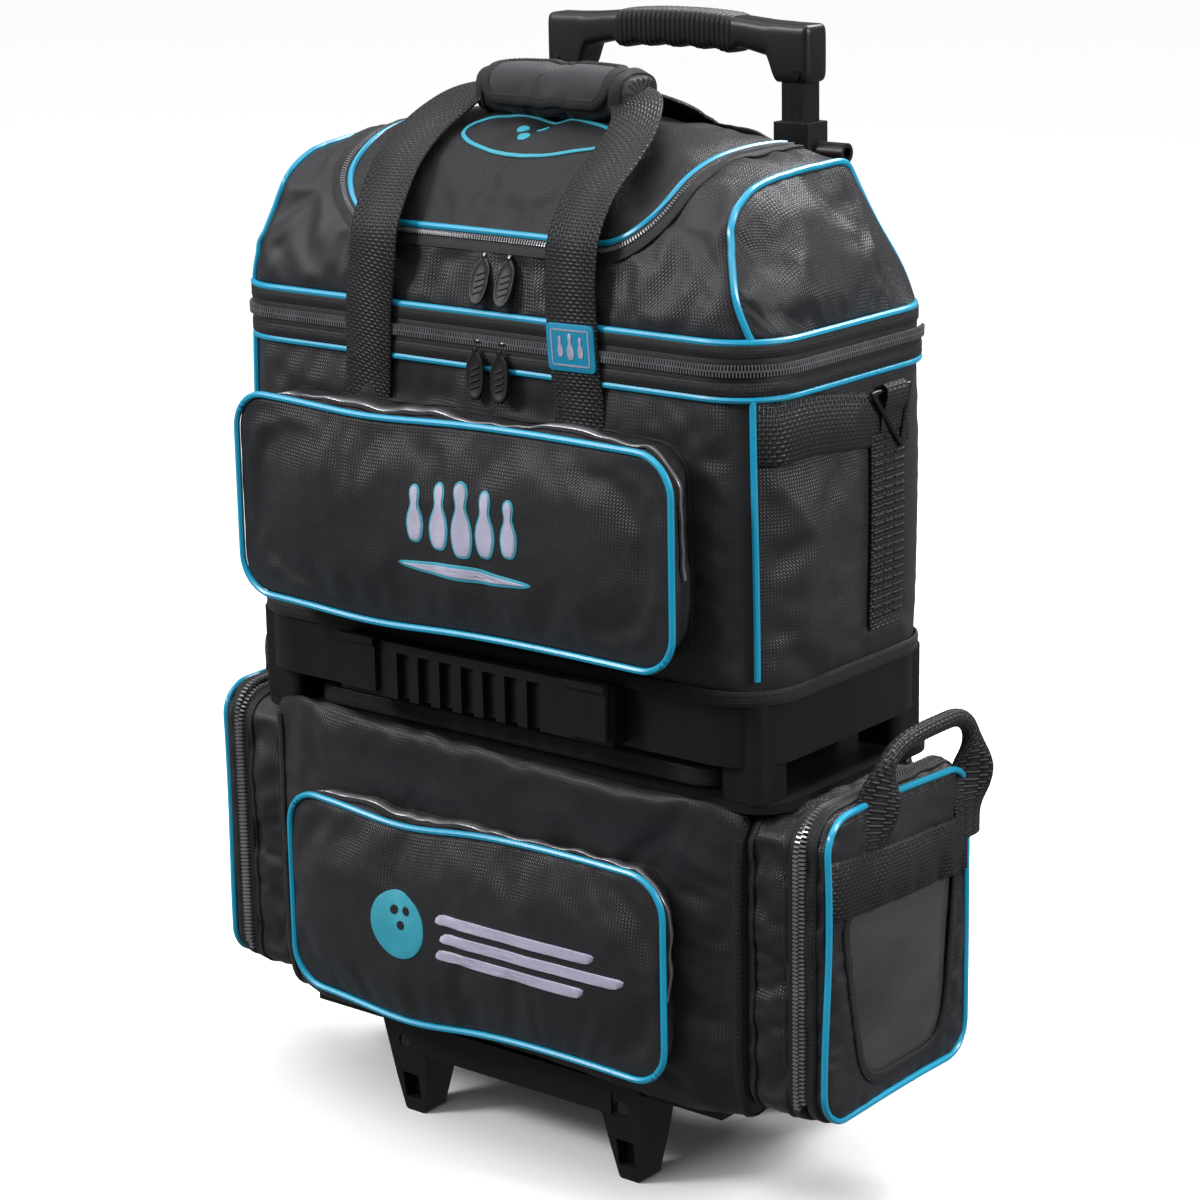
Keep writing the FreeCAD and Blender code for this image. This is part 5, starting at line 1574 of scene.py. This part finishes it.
def door_panel(side, word):
    """Zipped end door: boxing, an outer panel with a window opening, and everything sewn on it."""
    low, high = box("door_right")
    body = "shoe_door_" + word
    outer = high[0] - 2.5 * MM
    middle = np.array([(low[1] + high[1]) / 2, (low[2] + high[2]) / 2])
    half = (high[1:] - low[1:]) / 2 - 1 * MM
    y, z = np.meshgrid(np.linspace(-1, 1, 47), np.linspace(-1, 1, 57), indexing="ij")
    across, up = round_corners(y * half[0], z * half[1], half[0], half[1], DOOR_EDGE)
    bulge = 3 * MM * (1 - y**4) * (1 - z**4)
    wave = 1.5 * MM * np.sin(across * 30 + up * 24)
    panel = np.stack([(outer + bulge * 0.6 + wave * 0.4) * side, middle[0] + across, middle[1] + up], axis=-1)
    piece = Piece()
    piece.grid(panel)
    edge = np.vstack([panel[:-1, 0], panel[-1, :-1], panel[1:, -1][::-1], panel[0, 1:][::-1]])
    rim = at_side(side * (low[0] + 0.8 * MM), edge[:, 1:])
    steps = np.linspace(0, 1, 6)[:, None, None]
    wall = edge[None] + (rim - edge)[None] * steps
    away = unit(at_side(0.0, edge[:, 1:] - middle))
    wall = wall + away * 1.2 * MM * np.sin(math.pi * steps)
    piece.grid(wall, wrap_b=True)
    door = piece.done("door_panel_" + word, [NYLON, LINING], None, None, merge=0.05 * MM, sharp=60)
    opening = window_outline(200)

    def doomed(spot):
        return abs(spot.x) > outer - 3 * MM and inside_outline(spot[1:], opening)

    def near_edge(spot):
        return abs(spot.x) > outer - 4 * MM

    def snapped(spot):
        return spot.x, *opening[np.argmin(np.hypot(*(opening - spot[1:]).T))]
    cut_hole(door, doomed, near_edge, snapped)
    lined(door, 2 * MM)

    def pinned(points):
        gap = np.array([np.hypot(*(opening - point[1:]).T).min() for point in points])
        x = np.abs(points[:, 0])
        at_edge = (x > outer - 2 * MM) & (np.abs(points[:, 1:] - middle) > half - 2 * MM).any(axis=1)
        return (gap < 8 * MM) | (x < low[0] + 4 * MM) | at_edge
    puff(door, pinned, grow=0.04, pressure=1.2, cap=2.5 * MM, bend=0.5, folds=1.3 * MM)
    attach(door, body)
    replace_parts(door, "door_" + word)
    skin = Skin(door)
    out = np.array([side, 0.0, 0.0])

    piece = Piece()
    corner = rounded_loop(middle - half, middle + half, DOOR_EDGE, 200)
    wave = 1.7 * MM * np.sin(np.linspace(0, 6 * math.pi, 200, endpoint=False) + 1)
    ring = np.column_stack([side * (outer + 1.2 * MM) + side * wave * 0.5, corner])
    ring = ring - outline_hint(corner) * (0.8 * MM + wave[:, None])
    piece.tube(ring, PIPE, closed=True)
    piece.done("door_piping_" + word, PIPING, body, "piping")

    piece = Piece()
    hint = outline_hint(corner)
    ring = at_side(side * (low[0] + 7.5 * MM), corner)
    path, normals = band_on(piece, skin, ring, hint, 9 * MM, 1.9 * MM, 0.2 * MM, 4, 1)
    stitches(piece, path + normals * 1.9 * MM + out * 2 * MM, normals, True, finish=3)
    end_zip(piece, side * (low[0] + 1.6 * MM), corner, hint, 2.0 * MM, low, 0.5)
    over = side * (outer + 8 * MM)
    path, normals = skin.lay(at_side(over, window_outline(200, 3 * MM)), out, 0.1 * MM, 4, True)
    piece.sweep(path, normals, strip(8 * MM, 1.6 * MM), closed=True, finish=0)
    for grow in (0.6, 5.4):
        line = at_side(over, window_outline(200, grow * MM))
        stitches(piece, *skin.lay(line, out, 1.6 * MM, 4, True), True, finish=3)
    piece.done("door_trim_" + word, [BINDING, ZIP_TAPE, COIL, THREAD], body, "nylon", sharp=50)

    piece = Piece()
    loop = window_outline(120, 1 * MM)
    centre = loop.mean(axis=0)
    rows = []
    for share in (1.0, 0.9, 0.75, 0.55, 0.3, 0):
        ring = centre + (loop - centre) * share
        ripple = 0.8 * MM * np.sin(ring[:, 0] * 60) * np.sin(ring[:, 1] * 45 + 1)
        rows.append(np.column_stack([side * (outer - 0.8 * MM + 2.6 * MM * (1 - share**2) + ripple), ring]))
    piece.grid(np.array(rows), wrap_b=True)
    pane = piece.done("window_pane_" + word, VINYL, body, "vinyl", levels=1, thick=0.6 * MM)
    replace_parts(pane, "window_" + word)

    piece = Piece()
    y = np.linspace(low[1] + 2 * MM, high[1] - 2 * MM, 70)
    level = 270 * MM - 10 * MM * (y - low[1]) / (high[1] - low[1])
    path, normals = skin.lay(at_side(over, np.column_stack([y, level])), out, 0.4 * MM, 5)
    ribbon(piece, path, normals, 43 * MM, 2.2 * MM)
    edge_stitches(piece, path, normals, 21.5 * MM, 2.2 * MM)
    piece.done("door_webbing_" + word, [WEBBING, THREAD], body, "webbing", sharp=50)
    grab_handle(side, word)


def grab_handle(side, word):
    """Webbing handle: flat ends sewn to the door, rolled round a cord in the middle."""
    line = [(-63, 262), (-61, 290), (-57, 316), (-51, 338), (-42, 352), (-26, 359), (-4, 361.5), (20, 362),
            (42, 361), (57, 354), (65, 340), (67, 318), (66, 290), (66, 262)]
    flat = curve(np.array(line) * MM, 120)
    along = np.linspace(0, 1, 120)
    round_part = ease(0.21, 0.33, along) * (1 - ease(0.70, 0.82, along))
    rise = ease(0.04, 0.25, along) * (1 - ease(0.77, 0.97, along))
    path = np.column_stack([side * (294.2 * MM + 3.4 * MM * rise), flat])
    sections = []
    for share in round_part:
        band, roll = oval(16.5 * MM, 1.4 * MM, 24, 3.5), oval(6.8 * MM, 6.4 * MM, 24)
        sections.append(band * (1 - share) + roll * share)
    piece = Piece()
    # each flat end twists as it leaves the door, so that the middle can roll up
    run = tangents(path)
    turn = 0.7 * (np.sin(math.pi * ease(0.06, 0.36, along)) - np.sin(math.pi * ease(0.67, 0.95, along)))
    flat_on = np.tile((side, 0.0, 0.0), (120, 1))
    edge_on = unit(np.cross(flat_on, run)) * side
    normals = unit(flat_on * np.cos(turn)[:, None] + edge_on * np.sin(turn)[:, None])
    piece.sweep(path, normals, np.array(sections))
    handle = piece.done("grab_webbing_" + word, [WEBBING, THREAD], None, "webbing", levels=1, sharp=60)
    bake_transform(handle)
    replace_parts(handle, "grab_handle_" + word)


def deck_cover():
    """Soft black cover on the lower bag's hard top, which fills the gap below the tray."""
    low, high = box("deck")
    middle_y, half_y = -26 * MM, 84 * MM
    half_x = 196 * MM

    def shape(cube):
        x, y = round_corners(cube[..., 0] * half_x, cube[..., 1] * half_y, half_x, half_y, 22 * MM)
        edge = np.maximum(np.abs(cube[..., 0]) ** 6, np.abs(cube[..., 1]) ** 6)
        z = high[2] + 0.5 * MM + (cube[..., 2] + 1) / 2 * (21 - 5 * edge) * MM
        return np.stack([x, middle_y + y, z], axis=-1)
    piece = Piece()
    soft_box(piece, (50, 22, 4), shape)
    cover = piece.done("deck_cover", NYLON, "lower_lid", "nylon", levels=1, sharp=180)
    crease(cover, coords(cover.data)[:, 2] < high[2] + 1 * MM, 1.2 * MM)


# ---------------------------------------------------------------- pull handle


def grip_top(x, high):
    """The handle's top line bows up a little at its middle."""
    return high - 7 * MM + 6 * MM * (1 - ease(10 * MM, 112 * MM, np.abs(x)))


def grip():
    """Moulded handle: blocks over the two tubes and a bar between them, with finger rests below."""
    low, high = box("grip")
    half, deep = high[0], (high[1] - low[1]) / 2
    middle_y = (low[1] + high[1]) / 2
    x = np.concatenate([np.linspace(-half, 5 * MM - half, 7), np.linspace(7 * MM - half, half - 7 * MM, 260),
                        np.linspace(half - 5 * MM, half, 7)])
    rests = 2.6 * MM * np.abs(np.cos(x / (24 * MM) * math.pi)) * (1 - ease(56 * MM, 64 * MM, np.abs(x)))
    top = grip_top(x, high[2] + 2 * MM)
    bar_low = top - 23 * MM - rests - 3 * MM * ease(60 * MM, 92 * MM, np.abs(x))
    block = ease(84 * MM, 95 * MM, np.abs(x))
    bottom = bar_low * (1 - block) + low[2] * block
    # both ends are eased over their last few millimetres
    beyond = np.clip(np.abs(x) - half + 5 * MM, 0, None) / (5 * MM)
    shrink = 5 * MM * (1 - np.sqrt(np.clip(1 - beyond**2, 0, 1)))
    rows = []
    for place, up, down, less, square in zip(x, top, bottom, shrink, block):
        ring = oval(deep - less, (up - down) / 2 - less, 44, 4.2 + 3 * square)
        rows.append(at_side(place, ring + (middle_y, (up + down) / 2)))
    body = capped(np.array(rows)).done("grip_body", GRIP, "pull_handle", "grip_plastic", sharp=50)
    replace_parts(body, "grip")


def grip_sleeve():
    """Rubber sleeve with fine ribs round the top and sides of the bar."""
    low, high = box("grip_sleeve")
    middle_y, half_y, half = (low[1] + high[1]) / 2, (high[1] - low[1]) / 2, high[0] - 2 * MM
    x = np.linspace(-half, half, 300)
    rib = 0.5 - 0.5 * np.cos(x / (4.6 * MM) * 2 * math.pi)
    end = 1 - ease(half, half - 5 * MM, np.abs(x))
    top = grip_top(x, high[2] - 1 * MM)
    rests = 2.6 * MM * np.abs(np.cos(x / (24 * MM) * math.pi))
    rows = []
    for place, up, ridge, thin, rest in zip(x, top, rib, 1 - end, rests):
        lift = (1.3 * ridge * thin + 0.9 * thin) * MM
        ring = oval(half_y - 2.6 * MM + lift, 11.6 * MM + lift, 44, 4.2)
        lower = ring[:, 1] < -5 * MM
        ring[:, 1] -= lower * (rest - 0.6 * MM * ridge * thin)
        rows.append(at_side(place, ring + (middle_y, up - 12.4 * MM)))
    sleeve = capped(np.array(rows)).done("grip_rubber", RUBBER, "pull_handle", "grip_rubber", sharp=60)
    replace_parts(sleeve, "grip_sleeve")


# ---------------------------------------------------------------- zip sliders


def pull_shape(piece, place, right, up, out, half_wide, half_long):
    """Moulded rubber pull: an oval with a raised rim and slanting finger marks."""
    outline = oval(half_wide, half_long, 44, 2.3)
    neck = np.clip((outline[:, 1:] - 0.55 * half_long) / (0.45 * half_long), 0, 1)
    outline = outline * np.hstack([1 - 0.35 * neck, np.ones_like(neck)])
    rows = []
    for share, height in ((0, -1.2), (0.7, -1.2), (0.96, -1.1), (1.0, -0.5), (1.0, 0.6), (0.95, 1.35),
                          (0.84, 1.4), (0.76, 0.7), (0.4, 0.6), (0, 0.6)):
        ring = outline * share
        rows.append(place + ring[:, :1] * right + ring[:, 1:] * up + out * height * MM)
    piece.grid(np.array(rows), wrap_b=True)
    for shift in (-0.5, -0.25, 0.0, 0.25):
        a = np.array([-0.46 * half_wide, (shift - 0.06) * half_long])
        b = np.array([0.46 * half_wide, (shift + 0.10) * half_long])
        line = [place + spot[0] * right + spot[1] * up + out * 0.55 * MM for spot in np.linspace(a, b, 5)]
        piece.sweep(np.array(line), np.tile(out, (5, 1)), oval(0.9 * MM, 0.9 * MM, 8), finish=0)


def slider_shape(piece, place, right, up, out, finish=0):
    """Zip slider: two wings, a nose, and a bridge for its pull."""
    wing = rounded_loop((-6.2 * MM, -4.4 * MM), (6.2 * MM, 4.4 * MM), 2.6 * MM, 32)
    wing[:, 1] *= 1 - 0.3 * np.abs(wing[:, 0]) / (6.2 * MM)
    solid(piece, wing, place, right, up, out, -1.6 * MM, 1.4 * MM, finish)
    bridge = [place + right * a * MM + out * b * MM for a, b in
              ((-4.2, 1.0), (-4, 2.4), (-2.4, 3.6), (0, 4.0), (2.4, 3.6), (4, 2.4), (4.2, 1.0))]
    bridge = curve(np.array(bridge), 24)
    piece.sweep(bridge, np.tile(up, (24, 1)), oval(1.0 * MM, 1.5 * MM, 10, 3), finish=finish)


def sliders():
    """The four sliders of the main zip and the flap zip, each with its own pull."""
    for kind, tilt in (("main", 3), ("flap", 20.6)):
        for word, _ in SIDES:
            low, high = box(f"{kind}_slider_{word}")
            place = (low + high) / 2
            right, lean = np.array([1.0, 0, 0]), math.radians(tilt)
            up = np.array([0, math.sin(lean), math.cos(lean)])
            out = np.array([0, -math.cos(lean), math.sin(lean)])
            piece = Piece()
            slider_shape(piece, place - out * 1.5 * MM, right, up, out)
            made = piece.done(f"{kind}_zip_slider_{word}", BLACK_NICKEL, f"{kind}_slider_{word}",
                              "zip_metal", sharp=45)
            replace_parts(made, f"{kind}_slider_{word}")
            low, high = box(f"{kind}_pull_{word}")
            middle = (low + high) / 2 + out * (0.9 * MM if kind == "flap" else 0)
            piece = Piece()
            pull_shape(piece, middle, right, up, out, 8.2 * MM, 18.4 * MM)
            top = middle + up * 17.5 * MM
            link = [top - up * 2 * MM + out * 0.5 * MM, top - up * 0.5 * MM + out * 1.1 * MM,
                    top + up * 1 * MM + out * 1.2 * MM, top + up * 2.6 * MM + out * 0.8 * MM]
            piece.sweep(np.array(link), np.tile(out, (4, 1)), oval(2.3 * MM, 0.9 * MM, 12, 3), finish=1)
            made = piece.done(f"{kind}_zip_pull_{word}", [RUBBER, BLACK_NICKEL], f"{kind}_pull_{word}",
                              "pull_rubber", sharp=50)
            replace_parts(made, f"{kind}_pull_{word}")


def build_tote():
    body = tote_body()
    skin = tote_trim(body)
    side_webbing(skin)
    foam_bed("tote_foam", "tote")
    front_pocket("upper_pocket_box", "upper_pocket", "tote", 28 * MM, 0.07, 2 * MM, 3 * MM, pins_motif, FRONT)


def build_lid():
    lid = lid_shell()
    lid_trim(lid)
    flap_motif(top_flap())


def build_lower_bag():
    lower_shell()
    foam_bed("lower_foam", "trolley")
    deck_cover()
    front_pocket("lower_pocket_box", "lower_pocket", "trolley", 28 * MM, 0.05, 5 * MM, 6 * MM, ball_motif,
                 SHELL_LOW[1] - 4 * MM)
    for word, side in SIDES:
        end_pocket(side, word)
        door_panel(side, word)


def build_handles():
    front_straps()
    back_straps()
    handle_wrap()
    grip()
    grip_sleeve()
    sliders()


# ---------------------------------------------------------------- light, floor and camera


def floor_and_light():
    """A pale floor, an even sky, a wide overhead sun and three soft lights."""
    mesh = bpy.data.meshes.new("floor")
    reach = 60.0                    # metres, so that the floor's edge stays out of view
    mesh.from_pydata([(-reach, -reach, 0), (reach, -reach, 0), (reach, reach, 0), (-reach, reach, 0)], [],
                     [(0, 1, 2, 3)])
    floor = bpy.data.objects.new("floor", mesh)
    bpy.context.scene.collection.objects.link(floor)
    pale = bpy.data.materials.new("floor_pale")
    pale.use_nodes = True
    shader = pale.node_tree.nodes["Principled BSDF"]
    shader.inputs["Base Color"].default_value = (0.9, 0.9, 0.9, 1)
    shader.inputs["Roughness"].default_value = 0.8
    floor.data.materials.append(pale)
    # the floor takes shadows but throws no light back on the black cloth
    floor.visible_diffuse = floor.visible_glossy = False
    world = bpy.data.worlds.new("studio")
    world.use_nodes = True
    world.node_tree.nodes["Background"].inputs["Color"].default_value = (1, 1, 1, 1)
    world.node_tree.nodes["Background"].inputs["Strength"].default_value = 0.2
    bpy.context.scene.world = world
    middle = Vector((0, 0, 0.4))
    sun = bpy.data.lights.new("overhead", "SUN")
    sun.energy, sun.angle = 3.0, math.radians(90)
    lamp = bpy.data.objects.new("overhead", sun)
    lamp.rotation_euler = (math.radians(14), math.radians(-8), 0)
    bpy.context.scene.collection.objects.link(lamp)
    for name, place, power, size in (("key", (-1.5, -2.2, 2.1), 60, 0.7), ("right", (2.6, 0.5, 1.7), 60, 0.7),
                                     ("rim", (0.4, 1.9, 2.6), 70, 1.0)):
        data = bpy.data.lights.new(name, "AREA")
        data.energy, data.size = power, size
        lamp = bpy.data.objects.new(name, data)
        lamp.location = place
        lamp.rotation_euler = (middle - Vector(place)).to_track_quat("-Z", "Y").to_euler()
        bpy.context.scene.collection.objects.link(lamp)


def camera():
    """Three-quarter view from the right, a little above the bag."""
    data = bpy.data.cameras.new("camera")
    data.lens, data.sensor_width = 98.5, 36
    data.clip_end = 200
    eye = bpy.data.objects.new("camera", data)
    turn, tilt, roll = math.radians(38.83), math.radians(15.1), math.radians(-1.03)
    ahead = Vector((-math.sin(turn) * math.cos(tilt), math.cos(turn) * math.cos(tilt), -math.sin(tilt)))
    right = ahead.cross(Vector((0, 0, 1))).normalized()
    up = right.cross(ahead)
    side = right * math.cos(roll) + up * math.sin(roll)
    above = up * math.cos(roll) - right * math.sin(roll)
    eye.matrix_world = Matrix((side, above, -ahead)).transposed().to_4x4()
    eye.location = (1.518, -1.880, 1.064)
    bpy.context.scene.collection.objects.link(eye)
    bpy.context.scene.camera = eye


# ---------------------------------------------------------------- the whole bag

dress_cad_nodes()
build_tote()
build_lid()
build_lower_bag()
build_handles()
floor_and_light()
camera()
bpy.context.scene.view_settings.view_transform = "Standard"
